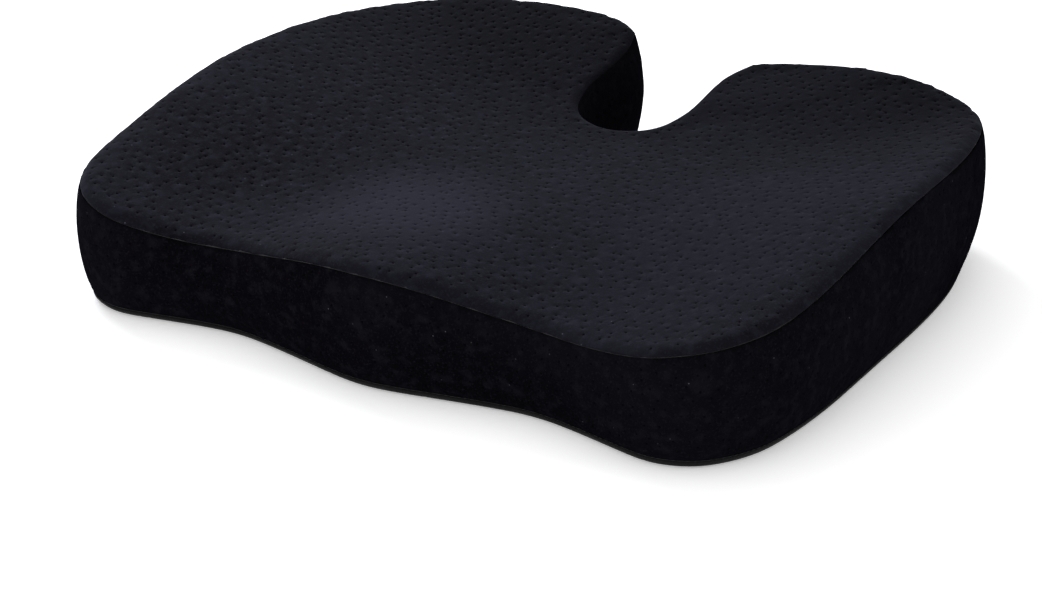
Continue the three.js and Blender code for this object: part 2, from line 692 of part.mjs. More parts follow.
function place(name, solid, finish) {
  const mesh = new THREE.Mesh(geometryOf(solid), new THREE.MeshStandardMaterial(finishes[finish]));
  mesh.name = name;
  cushion.add(mesh);
}

place("foam_core", makeFoamCore(), "foam");
place("top_panel", makeTopPanel(), "velour");

const lobe = LONG_STEPS + SHORT_STEPS; // the station of the lobe corner, where the two bands are joined
place("side_band", makeBand(-lobe, lobe), "velour");
place("notch_band", makeBand(lobe, STATIONS - lobe), "velour");

const tray = makeBottomTray();
place("bottom_panel_front", makeBottomPanel(tray, -1), "bottomFabric");
place("bottom_panel_rear", makeBottomPanel(tray, 1), "bottomFabric");

place("top_seam_thread", makeSeamThread((s) => profile(s).edge[0]), "thread");
place("bottom_seam_thread", makeSeamThread((s) => [bottomTuck(s), BOTTOM_SEAM_Z]), "thread");

for (const [word, side] of [["front", -1], ["rear", 1]]) {
  place("zip_tape_" + word, makeTape(side), "tape");
  place("zip_coil_" + word, makeCoil(side), "coil");
  place("zip_top_stop_" + word, makeTopStop(side), "slider");
  place("zip_seam_thread_" + word, makeHemThread(side), "thread");
}
place("zip_bottom_stop", makeBottomStop(), "slider");
place("zip_end_tab_left", makeEndTab(-1), "tape");
place("zip_end_tab_right", makeEndTab(1), "tape");
place("zip_slider", makeSlider(), "slider");
place("zip_pull", makePull(), "slider");

export default cushion;
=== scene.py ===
# %% [markdown]
# # A contoured seat cushion
#
# This is a block of memory foam in a zipped velour cover. The seat rises towards both sides and the back,
# a pommel stands up in the middle of the front edge, and a notch at the back keeps a chair from pressing on
# the tailbone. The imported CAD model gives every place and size, so the cells below only add what cloth,
# thread and a zip really look like.

import math

import bmesh
import bpy
import numpy as np
from mathutils import Matrix, Vector, geometry, kdtree
from mathutils.bvhtree import BVHTree
from mathutils.interpolate import poly_3d_calc as corner_weights


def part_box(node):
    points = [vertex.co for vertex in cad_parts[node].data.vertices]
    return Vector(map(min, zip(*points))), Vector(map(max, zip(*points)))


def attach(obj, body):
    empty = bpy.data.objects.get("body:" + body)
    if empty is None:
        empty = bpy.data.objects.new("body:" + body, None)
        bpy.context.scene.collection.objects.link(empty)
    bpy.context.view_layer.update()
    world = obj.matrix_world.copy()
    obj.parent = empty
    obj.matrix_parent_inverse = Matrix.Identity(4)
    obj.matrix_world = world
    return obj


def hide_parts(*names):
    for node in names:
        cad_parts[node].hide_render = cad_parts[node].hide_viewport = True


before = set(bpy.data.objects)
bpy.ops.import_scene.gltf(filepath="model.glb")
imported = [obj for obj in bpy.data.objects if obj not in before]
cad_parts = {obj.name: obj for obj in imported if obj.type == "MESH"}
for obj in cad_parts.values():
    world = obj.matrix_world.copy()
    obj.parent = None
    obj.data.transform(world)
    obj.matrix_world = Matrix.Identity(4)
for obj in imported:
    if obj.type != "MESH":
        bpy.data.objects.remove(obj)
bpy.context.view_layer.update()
MM = 0.001
scene = bpy.context.scene
print("CAD nodes:", len(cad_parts))

# %% [markdown]
# ## Camera
#
# The cushion is seen from its front right corner, from a little above and with a long lens, so its far edge
# is hardly smaller than its near one. The camera looks at a point just above the middle of the underside.
# A small shift moves the cushion up in the picture without turning the camera.

# %% The camera
VIEW_AZIMUTH = math.radians(31.5)
VIEW_ELEVATION = math.radians(22.4)
VIEW_DISTANCE = 1.429
AIM = Vector((0, 0.0065, 0.0342))
LENS = 90.7
LENS_SHIFT = (-0.0296, -0.0905)

camera_data = bpy.data.cameras.new("camera")
camera_data.lens = LENS
camera_data.shift_x, camera_data.shift_y = LENS_SHIFT
camera = bpy.data.objects.new("camera", camera_data)
outwards = Vector(
    (
        math.sin(VIEW_AZIMUTH) * math.cos(VIEW_ELEVATION),
        -math.cos(VIEW_AZIMUTH) * math.cos(VIEW_ELEVATION),
        math.sin(VIEW_ELEVATION),
    )
)
camera.location = AIM + outwards * VIEW_DISTANCE
camera.rotation_euler = outwards.to_track_quat("Z", "Y").to_euler()
scene.collection.objects.link(camera)
scene.camera = camera
print("camera at", [round(v, 3) for v in camera.location])

# %% [markdown]
# ## Floor and light
#
# Black velour shows almost nothing but the light that rakes across its pile. A large soft light stands at
# the upper left and behind the cushion, so it grazes the seat and leaves the near sides dark. A weak one in
# front and one overhead lift the rest off pure black. The floor is plain and nearly white.


# %% The floor and the lights
def colour(hex_text):
    """An sRGB hex value as the linear red, green, blue and alpha that a shader socket wants."""
    channels = [int(hex_text[i : i + 2], 16) / 255 for i in (1, 3, 5)]
    return [c / 12.92 if c <= 0.04045 else ((c + 0.055) / 1.055) ** 2.4 for c in channels] + [1.0]


def add_node(tree, kind, inputs=None, **settings):
    """Adds one node, sets its settings, and fills its inputs with values or links them to other sockets."""
    made = tree.nodes.new(kind)
    for name, value in settings.items():
        setattr(made, name, value)
    for name, value in (inputs or {}).items():
        if isinstance(value, bpy.types.NodeSocket):
            tree.links.new(value, made.inputs[name])
        else:
            made.inputs[name].default_value = value
    return made


def worked_out(tree, operation, first, second):
    """The result of a sum with two numbers or sockets."""
    return add_node(tree, "ShaderNodeMath", {0: first, 1: second}, operation=operation).outputs["Value"]


def new_material(name):
    """An empty material and its node tree."""
    material = bpy.data.materials.new(name)
    material.use_nodes = True
    material.node_tree.nodes.clear()
    return material, material.node_tree


def finish_material(tree, inputs):
    """Ends a material with a Principled shader and the output."""
    shader = add_node(tree, "ShaderNodeBsdfPrincipled", inputs)
    add_node(tree, "ShaderNodeOutputMaterial", {"Surface": shader.outputs["BSDF"]})


def add_object(name, data):
    """A new object in the scene, at the origin."""
    made = bpy.data.objects.new(name, data)
    scene.collection.objects.link(made)
    return made


def area_light(name, place, size, power, tint):
    """A square soft light that shines at the cushion."""
    data = bpy.data.lights.new(name, "AREA")
    data.size = size
    data.energy = power
    data.color = colour(tint)[:3]
    lamp = add_object(name, data)
    lamp.location = place
    lamp.rotation_euler = (Vector(place) - AIM).to_track_quat("Z", "Y").to_euler()


HALF_FLOOR = 6.0
WORLD_STRENGTH = 0.72
LAMPS = (
    ("key_behind_left", (-1.7, 0.9, 1.15), 1.1, 42, "#f4f6ff"),
    ("fill_front", (-0.9, -2.4, 1.3), 2.2, 6, "#ffffff"),
    ("top_soft", (-0.3, 0.1, 2.4), 2.2, 14, "#ffffff"),
)

floor_corners = [(x * HALF_FLOOR, y * HALF_FLOOR, 0) for x, y in ((-1, -1), (1, -1), (1, 1), (-1, 1))]
floor_mesh = bpy.data.meshes.new("floor")
floor_mesh.from_pydata(floor_corners, [], [(0, 1, 2, 3)])
floor = add_object("floor", floor_mesh)
floor_paint, tree = new_material("matt_white_paper")
finish_material(
    tree,
    {
        "Base Color": colour("#fdfdfd"),
        "Roughness": 0.95,
        "Emission Color": colour("#ffffff"),
        "Emission Strength": 0.3,
    },
)
floor_mesh.materials.append(floor_paint)

for name, place, size, power, tint in LAMPS:
    area_light(name, place, size, power, tint)

world = bpy.data.worlds.new("white_studio")
world.use_nodes = True
background = world.node_tree.nodes["Background"]
background.inputs["Color"].default_value = colour("#ffffff")
background.inputs["Strength"].default_value = WORLD_STRENGTH
scene.world = world
scene.view_settings.view_transform = "Standard"

# %% [markdown]
# ## Reading the cover's shape from the CAD model
#
# Each CAD panel is a thin shell of flat facets. Only its outer skin is wanted, and that is the part which
# lies farthest from the foam, so a search tree of the foam's surface finds it. The edge of the skin is a
# ring of points; a cubic B-spline through it is the smooth line that a real seam would follow.

# %% Taking a panel's outer skin and its edge
COVER_THICKNESS = 2.0 * MM  # the velour with its thin foam backing
SAME_POINT = 0.01 * MM
PAIRING_ANGLE = math.radians(120)  # two triangles of one facet meet at far less than this
SPLINE_STEPS = 8
SHEET_LEVELS = 2


def loose_mesh(node):
    """A CAD node's mesh as a bmesh whose triangles share their corners."""
    bm = bmesh.new()
    bm.from_mesh(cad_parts[node].data)
    bmesh.ops.remove_doubles(bm, verts=bm.verts, dist=SAME_POINT)
    return bm


foam_bm = loose_mesh("foam_core")
foam_tree = BVHTree.FromBMesh(foam_bm)
foam_bm.free()


def outer_skin(node):
    """The outer side of a CAD panel, as four-sided faces where the triangles pair up."""
    bm = loose_mesh(node)
    inside = [f for f in bm.faces if foam_tree.find_nearest(f.calc_center_median())[3] < COVER_THICKNESS]
    bmesh.ops.delete(bm, geom=inside, context="FACES")
    bmesh.ops.join_triangles(
        bm,
        faces=bm.faces[:],
        angle_face_threshold=PAIRING_ANGLE,
        angle_shape_threshold=PAIRING_ANGLE,
    )
    return bm


def edge_loop(bm):
    """The points of a sheet's edge in order, anticlockwise as seen from outside."""
    start = next(e for e in bm.edges if e.is_boundary)
    loop = start.link_loops[0]
    first, points = loop.vert, [loop.vert.co.copy()]
    here = loop.link_loop_next.vert
    while here != first:
        points.append(here.co.copy())
        ahead = next(e for e in here.link_edges if e.is_boundary and e.link_loops[0].vert == here)
        here = ahead.link_loops[0].link_loop_next.vert
    return np.array(points)


def b_spline(points, steps, closed):
    """Points along the cubic B-spline of a row of points, the curve that subdivision rounds an edge to."""
    if closed:
        run = np.vstack([points[-1:], points, points[:2]])
    else:
        run = np.vstack([2 * points[0] - points[1], points, 2 * points[-1] - points[-2]])
    t = np.linspace(0, 1, steps, endpoint=False)[:, None]
    weights = [(1 - t) ** 3, 3 * t**3 - 6 * t**2 + 4, -3 * t**3 + 3 * t**2 + 3 * t + 1, t**3]
    pieces = [sum(w * run[i + k] for k, w in enumerate(weights)) / 6 for i in range(len(run) - 3)]
    return np.vstack(pieces if closed else pieces + [points[-1:]])


def evenly(points, spacing, closed):
    """The same line with its points a set distance apart."""
    whole = np.vstack([points, points[:1]]) if closed else points
    run = np.concatenate([[0], np.cumsum(np.linalg.norm(np.diff(whole, axis=0), axis=1))])
    count = max(2, round(run[-1] / spacing))
    wanted = np.linspace(0, run[-1], count + 1)
    made = np.stack([np.interp(wanted, run, whole[:, k]) for k in range(whole.shape[1])], axis=1)
    return made[:-1] if closed else made


def applied(thing):
    """The same object with its modifiers turned into plain mesh."""
    graph = bpy.context.evaluated_depsgraph_get()
    evaluated = thing.evaluated_get(graph)
    mesh = bpy.data.meshes.new_from_object(evaluated, preserve_all_data_layers=True, depsgraph=graph)
    mesh.name = thing.name
    thing.modifiers.clear()
    thing.data = mesh
    return thing


def rounded_sheet(bm, name):
    """A skin turned into an object, rounded by Subdivision Surface."""
    mesh = bpy.data.meshes.new(name)
    bm.to_mesh(mesh)
    sheet = add_object(name, mesh)
    rounding = sheet.modifiers.new("rounding", "SUBSURF")
    rounding.levels = rounding.render_levels = SHEET_LEVELS
    rounding.boundary_smooth = "PRESERVE_CORNERS"
    return applied(sheet)


def positions(mesh):
    """The places of a mesh's points, one row for each."""
    flat = np.empty(len(mesh.vertices) * 3)
    mesh.vertices.foreach_get("co", flat)
    return flat.reshape(-1, 3)


skins = {node: outer_skin(node) for node in ("top_panel", "side_band", "notch_band")}
edges = {node: edge_loop(bm) for node, bm in skins.items()}
skin_points = {node: np.array([v.co for v in bm.verts]) for node, bm in skins.items()}
sheets = {node: rounded_sheet(bm, node + "_sheet") for node, bm in skins.items()}
top_edge = b_spline(edges["top_panel"], SPLINE_STEPS, True)
for node in skins:
    print(node, "edge points", len(edges[node]), "sheet faces", len(sheets[node].data.polygons))

# %% [markdown]
# ## Letting the cover settle
#
# The cover is sewn to shape and pulled over the foam, so between two seams it swells a little, and where
# more cloth was fed into a seam than the seam is long it puckers. Cloth simulation finds that by itself. The
# edges are pinned where the seams hold them, each sheet is made one percent too large, and a light pressure
# from the foam pushes it out. How far a point may move is capped, so the cushion keeps its shape.

# %% Simulating each sheet
FOAM_PRESSURE = 1.2
EXTRA_CLOTH = 0.01
SETTLING_FRAMES = 20
MOST_SWELL = 1.6 * MM


def settled(sheet):
    """How far each point of a sheet moves when the cloth settles."""
    mesh = sheet.data
    before = positions(mesh)
    bm = bmesh.new()
    bm.from_mesh(mesh)
    held = [v.index for v in bm.verts if v.is_boundary]
    bm.free()
    group = sheet.vertex_groups.new(name="sewn")
    group.add(held, 1.0, "REPLACE")
    cloth = sheet.modifiers.new("cloth", "CLOTH")
    cloth.settings.quality = 6
    cloth.settings.mass = 0.15
    cloth.settings.tension_stiffness = cloth.settings.compression_stiffness = 12
    cloth.settings.bending_stiffness = 0.3
    cloth.settings.use_pressure = True
    cloth.settings.uniform_pressure_force = FOAM_PRESSURE
    cloth.settings.shrink_min = -EXTRA_CLOTH
    cloth.settings.vertex_group_mass = "sewn"
    cloth.settings.effector_weights.gravity = 0
    cloth.collision_settings.use_collision = False
    cloth.point_cache.frame_end = SETTLING_FRAMES
    for number in range(1, SETTLING_FRAMES + 1):
        scene.frame_set(number)
    after = positions(applied(sheet).data)
    scene.frame_set(1)
    moved = after - before
    outwards = np.empty(len(before) * 3)
    mesh.vertex_normals.foreach_get("vector", outwards)
    outwards = outwards.reshape(-1, 3)
    sunk = np.minimum((moved * outwards).sum(1), 0)[:, None]
    moved -= sunk * outwards  # the foam lets no point sink
    length = np.linalg.norm(moved, axis=1, keepdims=True)
    return before, moved * MOST_SWELL / (MOST_SWELL + length)


swell = {}
for node, sheet in sheets.items():
    swell[node] = settled(sheet)
    length = np.linalg.norm(swell[node][1], axis=1)
    most, average = (round(float(value) / MM, 2) for value in (length.max(), length.mean()))
    print(node, "swells by up to", most, "mm, on average", average, "mm")

# %% [markdown]
# ## Distances and directions
#
# Every later cell asks how far a point is from a line, or which way a surface faces. These few helpers answer
# that with one search tree for each row of points. A flat point counts as one at height zero.


# %% Measuring distances and directions
def tree_of(points):
    """A search tree of points in the plane or in space."""
    tree = kdtree.KDTree(len(points))
    for i, p in enumerate(points):
        tree.insert((*p, 0.0)[:3], i)
    tree.balance()
    return tree


def distance_in_plan(points, line):
    """How far each point is from the nearest point of a line, as seen from above."""
    tree = tree_of(line[:, :2])
    return np.array([tree.find((*p, 0.0)[:3])[2] for p in points])


def nearest_points(points, line):
    """The point of a line that is nearest to each point."""
    tree = tree_of(line)
    return np.array([line[tree.find(p)[1]] for p in points])


def unit(vectors):
    """The same directions with length one."""
    return vectors / np.maximum(np.linalg.norm(vectors, axis=1, keepdims=True), 1e-12)


def turned_to(vectors, others):
    """How far each vector points the way of its partner."""
    return np.einsum("ij,ij->i", vectors, others)


def shade_smooth(mesh):
    mesh.polygons.foreach_set("use_smooth", [True] * len(mesh.polygons))


SOFTENING = 0.05 * MM  # keeps the nearest of a few neighbours from taking all the weight


def blended(points, known, values, count=4):
    """Values known at scattered points, read at other points by their nearest neighbours."""
    tree = tree_of(known)
    made = np.zeros((len(points), values.shape[1]))
    for i, p in enumerate(points):
        near = tree.find_n((*p, 0.0)[:3], count)
        weights = np.array([1 / (n[2] + SOFTENING) ** 2 for n in near])
        made[i] = weights @ values[[n[1] for n in near]] / weights.sum()
    return made


print("search trees are ready for", len(top_edge), "points of the top edge")

# %% [markdown]
# ## Cutting and piercing a panel
#
# Velour for such a cover is pierced by needles, so that the foam can breathe. Each panel is laid out flat,
# as a pattern cutter would: the seat as seen from above, a band as its length along the cushion's edge by its
# height. A Delaunay mesh then fills the pattern, with thirteen points at each needle hole and a lattice of
# points in between, and the finished pattern is laid back on the cushion's surface. Its edge rolls under,
# and a coarse layer closes the back, so that each panel is a solid sheet of cloth.

# %% Laying out and filling a pattern
HOLE_SPACING = 7.6 * MM
HOLE_SCATTER = 0.3  # of the spacing
HOLE_RADIUS = 0.55 * MM
HOLE_DEPTH = {"top": 0.7 * MM, "band": 0.4 * MM}
HOLE_RINGS = ((0, 1.0, 0), (0.7, 0.8, 0), (1.5, 0.0, math.pi / 6))  # shares of radius and depth, and turn
HOLE_SIDES = 6
CLOTH_MESH = 3.0 * MM
BACK_MESH = 14 * MM
EDGE_MESH = 3.0 * MM
CLEARANCE = {
    "hole to edge": 3.2 * MM,
    "cloth to edge": 1.2 * MM,
    "cloth to hole": 2.1 * MM,
    "cloth to fold": 1.2 * MM,
    "back to edge": 5 * MM,
    "back to fold": 3 * MM,
}
ROLL = 0.78 * MM  # radius of a panel's rolled edge
UPRIGHT_ROLL = 0.35  # how much wider that roll is along an upright seam
STEEP = 0.8  # an edge that rises more than this share of its length is an upright seam
ROLL_STEPS = 4
RIM_SMOOTHING = 3
HEART = np.array([0, 0, 0.03])  # a place deep in the foam
FINE = 0.5 * MM  # spacing of the points that stand for a line when a distance to it is measured
random = np.random.default_rng(7)


def lattice(low, high, spacing, scatter=0.0):
    """A triangular lattice of points that covers a box."""
    rows = []
    for r, y in enumerate(np.arange(low[1], high[1], spacing * math.sqrt(0.75))):
        x = np.arange(low[0] + (r % 2) * spacing / 2, high[0], spacing)
        rows.append(np.stack([x, np.full_like(x, y)], axis=1))
    grid = np.vstack(rows)
    return grid + random.uniform(-1, 1, grid.shape) * scatter * spacing


def inside(points, outline):
    """Which points lie inside a closed outline."""
    hits = np.zeros(len(points), bool)
    for a, b in zip(outline, np.roll(outline, -1, axis=0)):
        if a[1] == b[1]:
            continue
        crosses = (a[1] > points[:, 1]) != (b[1] > points[:, 1])
        hits ^= crosses & (points[:, 0] < (b[0] - a[0]) * (points[:, 1] - a[1]) / (b[1] - a[1]) + a[0])
    return hits


def kept_clear(points, others, distance):
    """The points that keep a distance from all others."""
    return points[distance_in_plan(points, others) > distance]


def filled(outline, points):
    """The triangles of a Delaunay mesh inside an outline. The outline's points are numbered first."""
    count = len(outline)
    verts = [Vector(p) for p in np.vstack([outline, points])]
    rim = [(i, (i + 1) % count) for i in range(count)]
    _, _, faces, origin, _, _ = geometry.delaunay_2d_cdt(verts, rim, [], 1, 1e-8)
    return np.array([[origin[i][0] for i in face] for face in faces])


def pierced_pattern(outline, pierced, folds):
    """The points inside a flat pattern, how deep in a needle hole each one lies, and the number of holes."""
    low, high = outline.min(0), outline.max(0)
    centres = np.empty((0, 2))
    pits = np.empty((0, 2))
    depths = np.empty(0)
    if pierced:
        centres = lattice(low, high, HOLE_SPACING, HOLE_SCATTER)
        centres = centres[inside(centres, outline)]
        centres = kept_clear(centres, outline, CLEARANCE["hole to edge"])
        for share, depth, turn in HOLE_RINGS:
            for k in range(HOLE_SIDES if share else 1):
                angle = turn + k * 2 * math.pi / HOLE_SIDES
                offset = share * HOLE_RADIUS * np.array([math.cos(angle), math.sin(angle)])
                pits = np.vstack([pits, centres + offset])
                depths = np.concatenate([depths, np.full(len(centres), depth)])
    rest = lattice(low, high, CLOTH_MESH)
    rest = rest[inside(rest, outline)]
    rest = kept_clear(rest, evenly(outline, FINE, True), CLEARANCE["cloth to edge"])
    if pierced:
        rest = kept_clear(rest, centres, CLEARANCE["cloth to hole"])
    if folds is not None:
        rest = np.vstack([kept_clear(rest, folds, CLEARANCE["cloth to fold"]), folds])
    return np.vstack([pits, rest]), np.concatenate([depths, np.zeros(len(rest))]), len(centres)


print("holes are", HOLE_SPACING / MM, "mm apart")


# %% Laying a pattern on the cushion
def normals_of(points, faces):
    """The normal at each point of a mesh of triangles."""
    a, b, c = (points[faces[:, k]] for k in range(3))
    face_normals = np.cross(b - a, c - a)
    made = np.zeros_like(points)
    for k in range(3):
        np.add.at(made, faces[:, k], face_normals)
    return unit(made)


def pucker(points):
    """How far the cloth is drawn in near the top seam."""
    made = np.zeros(len(points))
    for i, p in enumerate(points):
        _, near, distance = top_seam_tree.find(p)
        if distance < PUCKER_REACH:
            made[i] = top_pucker[near] * (1 - distance / PUCKER_REACH) ** 2
    return made


def rolled_edge(rim, up, middle):
    """Rings of points that roll a panel's edge under."""
    along = unit(np.roll(rim, -1, axis=0) - np.roll(rim, 1, axis=0))
    out = np.cross(along, up)
    if turned_to(out, rim - middle).mean() < 0:
        out = -out
    radius = ROLL * (1 + UPRIGHT_ROLL * (np.abs(along[:, 2:]) > STEEP))
    angles = [math.pi * k / ROLL_STEPS for k in range(1, ROLL_STEPS + 1)]
    return [rim + radius * (math.sin(a) * out - (1 - math.cos(a)) * up) for a in angles]


def back_layer(outline, place, folds, up):
    """The coarse layer that closes a panel's back: its inner points, and its triangles facing inwards."""
    points = lattice(outline.min(0), outline.max(0), BACK_MESH)
    points = points[inside(points, outline)]
    points = kept_clear(points, outline, CLEARANCE["back to edge"])
    if folds is not None:
        points = np.vstack([kept_clear(points, folds, CLEARANCE["back to fold"]), folds])
    faces = filled(outline, points)
    laid = place(np.vstack([outline, points]))
    normals = normals_of(laid, faces)
    faces_in = turned_to(normals[: len(outline)], up).mean() < 0
    laid = (laid - normals * (-1 if faces_in else 1) * 2 * ROLL)[len(outline) :]
    return laid, faces if faces_in else faces[:, ::-1]


def make_panel(name, outline, place, hole_depth=0.0, folds=None):
    """One closed sheet of cloth, cut to an outline and laid on the cushion by place().

    Folds are points that the mesh needs where the cloth bends sharply.
    """
    pattern, pits, holes = pierced_pattern(outline, hole_depth > 0, folds)
    faces = filled(outline, pattern)
    count = len(outline)
    base = place(np.vstack([outline, pattern]))
    if turned_to(normals_of(base, faces), base - HEART)[:count].mean() < 0:
        faces = faces[:, ::-1]
    base -= normals_of(base, faces) * pucker(base)[:, None]
    normals = normals_of(base, faces)
    face = base - normals * (np.concatenate([np.zeros(count), pits]) * hole_depth)[:, None]
    up = normals[:count]
    for _ in range(RIM_SMOOTHING):
        up = unit(np.roll(up, 1, axis=0) + 2 * up + np.roll(up, -1, axis=0))
    rings = rolled_edge(base[:count], up, base.mean(0))
    back, back_faces = back_layer(outline, place, folds, up)

    points = np.vstack([face, *rings, back])
    loops = [np.arange(count)] + [len(face) + k * count + np.arange(count) for k in range(ROLL_STEPS)]
    forward = any((0, 1) in zip(f, np.roll(f, -1)) for f in faces.tolist())
    quads = []
    for near, far in zip(loops, loops[1:]):
        ahead, ahead_far = np.roll(near, -1), np.roll(far, -1)
        corners = [ahead, near, far, ahead_far] if forward else [near, ahead, ahead_far, far]
        quads.append(np.stack(corners, axis=1))
    back_faces = back_faces + loops[-1][0]
    mesh = bpy.data.meshes.new(name)
    mesh.from_pydata(points, [], [*faces.tolist(), *np.vstack(quads).tolist(), *back_faces.tolist()])
    shade_smooth(mesh)
    not_pierced = np.zeros(len(points) - len(face))
    depth = mesh.attributes.new("pit", "FLOAT", "POINT")
    depth.data.foreach_set("value", np.concatenate([np.zeros(count), pits, not_pierced]))
    mesh.update()
    print(name, len(mesh.polygons), "faces,", holes, "needle holes")
    return add_object(name, mesh)


def waves(along, terms):
    """A sum of waves along a seam, from the size, the length and the start of each."""
    return sum(size * np.sin(along / length + start) for size, length, start in terms)


# How strongly the top seam draws the cloth in at each place.
PUCKER_REACH = 13 * MM
PUCKER_DEPTH = 0.5 * MM
PUCKER_LENGTH = 17 * MM
WANDER = ((0.9, 31 * MM, 0), (0.6, 47 * MM, 1.1))
TIGHTNESS = ((1, 83 * MM, 2.0), (0.3, 29 * MM, 0))
MIDDLE = 5 * MM  # the seam's points this near to the middle may be its start

front_middle = int(np.argmin(np.where(np.abs(top_edge[:, 0]) < MIDDLE, top_edge[:, 1], 1)))
top_edge = evenly(np.roll(top_edge, -front_middle, axis=0), EDGE_MESH, True)
step = float(np.linalg.norm(top_edge[1] - top_edge[0]))
seam_length = step * len(top_edge)
station = np.arange(len(top_edge)) * step
beat = np.cos(2 * math.pi * station / PUCKER_LENGTH + 2 * waves(station, WANDER))
strength = 0.45 + 0.55 * np.clip(waves(station, TIGHTNESS), -0.6, 1)
top_pucker = PUCKER_DEPTH * strength * np.clip(beat, 0, 1) ** 2
top_seam_tree = tree_of(top_edge)
print("the top seam is", round(seam_length, 3), "m long")

# %% [markdown]
# ## The top panel
#
# The seat is a surface with one height at each place, so its pattern is its view from above. A thin-plate
# spline through the CAD model's points gives a height between them with no facets, the way a sheet of
# spring steel would bend. The round edge is taken off first and put back by its formula, because the spline
# would ripple along such a tight bend.

# %% Making the top panel
EDGE_RADIUS = 11 * MM
EDGE_START = 3.5 * MM  # from the cushion's widest line to the top panel's edge
MEND_REACH = 14 * MM
BLOCK = 4000  # points worked out at one time
TINY = 1e-20


def edge_drop(distance):
    """How far the round edge lies under the seat, by the distance from the panel's edge."""
    share = np.clip(1 - (distance + EDGE_START) / EDGE_RADIUS, 0, 1)
    return EDGE_RADIUS * (1 - np.sqrt(1 - share**2))


def bending(points, places):
    """What each place of a thin-plate spline adds at each point, by their distance."""
    squared = ((points[:, None] - places[None]) ** 2).sum(2)
    return squared * np.log(np.maximum(squared, TINY))


def plate(points, places, weights):
    """A thin-plate spline's height at some points."""
    made = []
    for i in range(0, len(points), BLOCK):
        block = points[i : i + BLOCK]
        made.append(bending(block, places) @ weights[:-3] + weights[-3] + block @ weights[-2:])
    return np.concatenate(made)


fine_edge = evenly(top_edge, FINE, True)
known = skin_points["top_panel"]
known_heights = known[:, 2] + edge_drop(distance_in_plan(known[:, :2], fine_edge))
level_terms = np.hstack([np.ones((len(known), 1)), known[:, :2]])
system = np.block([[bending(known[:, :2], known[:, :2]), level_terms], [level_terms.T, np.zeros((3, 3))]])
plate_weights = np.linalg.solve(system, np.concatenate([known_heights, np.zeros(3)]))

# The spline misses the seam by a little, so what it misses there is taken off again near the edge.
missed = plate(top_edge[:, :2], known[:, :2], plate_weights) - edge_drop(0.0) - top_edge[:, 2]


def on_seat(points):
    """Points of the top panel's pattern, laid on the cushion."""
    distance = distance_in_plan(points, fine_edge)
    mend = blended(points, top_edge[:, :2], missed[:, None], 2)[:, 0]
    mend *= np.exp(-((distance / MEND_REACH) ** 2))
    heights = plate(points, known[:, :2], plate_weights) - edge_drop(distance) - mend
    laid = np.column_stack([points, heights])
    return laid + blended(points, swell["top_panel"][0][:, :2], swell["top_panel"][1])


top_panel = make_panel("cover_top", top_edge[:, :2], on_seat, HOLE_DEPTH["top"])
print("the spline misses the seam by", round(float(np.abs(missed).max()) / MM, 2), "mm at most")

# %% [markdown]
# ## The side bands
#
# A band's pattern is a long strip: the length along the seam by the height. Two bands meet in an upright
# seam at each inner back corner, and that is where a sewer would hide it: one runs round the cushion and one
# lines the notch.


# %% Making the bands
def seam_place(points, start):
    """Where along the top seam each point lies, counted from start round to start again."""
    tree = tree_of(top_edge[:, :2])
    made = np.empty(len(points))
    for i, p in enumerate(points):
        near = tree.find((p[0], p[1], 0.0))[1]
        best = (math.inf, 0.0)
        for first in (near - 1, near):
            a = top_edge[first % len(top_edge), :2]
            b = top_edge[(first + 1) % len(top_edge), :2]
            t = float(np.clip(np.dot(p[:2] - a, b - a) / np.dot(b - a, b - a), 0, 1))
            gap = float(np.linalg.norm(a + t * (b - a) - p[:2]))
            best = min(best, (gap, (first + t) * step))
        made[i] = (best[1] - start) % seam_length + start
    return made


def make_band(name, node, start):
    """A side band, from its settled sheet."""
    sheet = sheets[node]
    before, moved = swell[node]
    flat = np.column_stack([seam_place(before, start), before[:, 2], np.zeros(len(before))])
    laid = before + moved
    polygons = [tuple(p.vertices) for p in sheet.data.polygons]
    tree = BVHTree.FromPolygons([tuple(p) for p in flat], polygons)
    bm = bmesh.new()
    bm.from_mesh(sheet.data)
    number_at = {tuple(np.round(v.co, 7)): v.index for v in bm.verts}
    order = [number_at[tuple(np.round(p, 7))] for p in edge_loop(bm)]
    bm.free()
    outline = evenly(flat[order, :2], EDGE_MESH, True)

    def on_band(points):
        """Points of the band's pattern, laid on the settled sheet."""
        made = np.empty((len(points), 3))
        for i, p in enumerate(points):
            spot, _, face, _ = tree.find_nearest((*p, 0.0)[:3])
            corners = polygons[face]
            weights = corner_weights([Vector(flat[c]) for c in corners], spot)
            made[i] = np.array(weights) @ laid[list(corners)]
        return made

    return make_panel(name, outline, on_band, HOLE_DEPTH["band"])


side_band = make_band("cover_side", "side_band", -seam_length / 2)
notch_band = make_band("cover_notch", "notch_band", 0.0)

# %% [markdown]
# ## Velour
#
# Velour is a knit whose loops are sheared into a short dense pile. Seen along the pile it swallows light and
# looks almost black, and seen across it the fibre tips catch light, which gives the soft bright rims. Sheen
# on a very rough base does that. Low, wide noise stands for places where the pile was stroked another way,
# fine noise for the tips, and a few stray fibres of lint lie on top. Light and shade are also painted into
# the
# colour: the needle holes are painted dark, because no light comes back out of them, the cloth is painted
# darker towards the back, soft patches of painted highlight and painted shade follow the seat's relief, and
# the bands are a darker copy of the top's velour, painted shade for sides that face away from the light
# above.


# %% Mixing the velours
def ramp(tree, value, low, high, to_low=0.0, to_high=1.0):
    """A value's range turned into another, smoothly and with its ends held."""
    return add_node(
        tree,
        "ShaderNodeMapRange",
        {"Value": value, "From Min": low, "From Max": high, "To Min": to_low, "To Max": to_high},
        interpolation_type="SMOOTHSTEP",
    ).outputs["Result"]


def noise(tree, place, scale, detail, **more):
    """The value of a noise texture."""
    inputs = {"Vector": place, "Scale": scale, "Detail": detail, **more}
    return add_node(tree, "ShaderNodeTexNoise", inputs).outputs["Fac"]


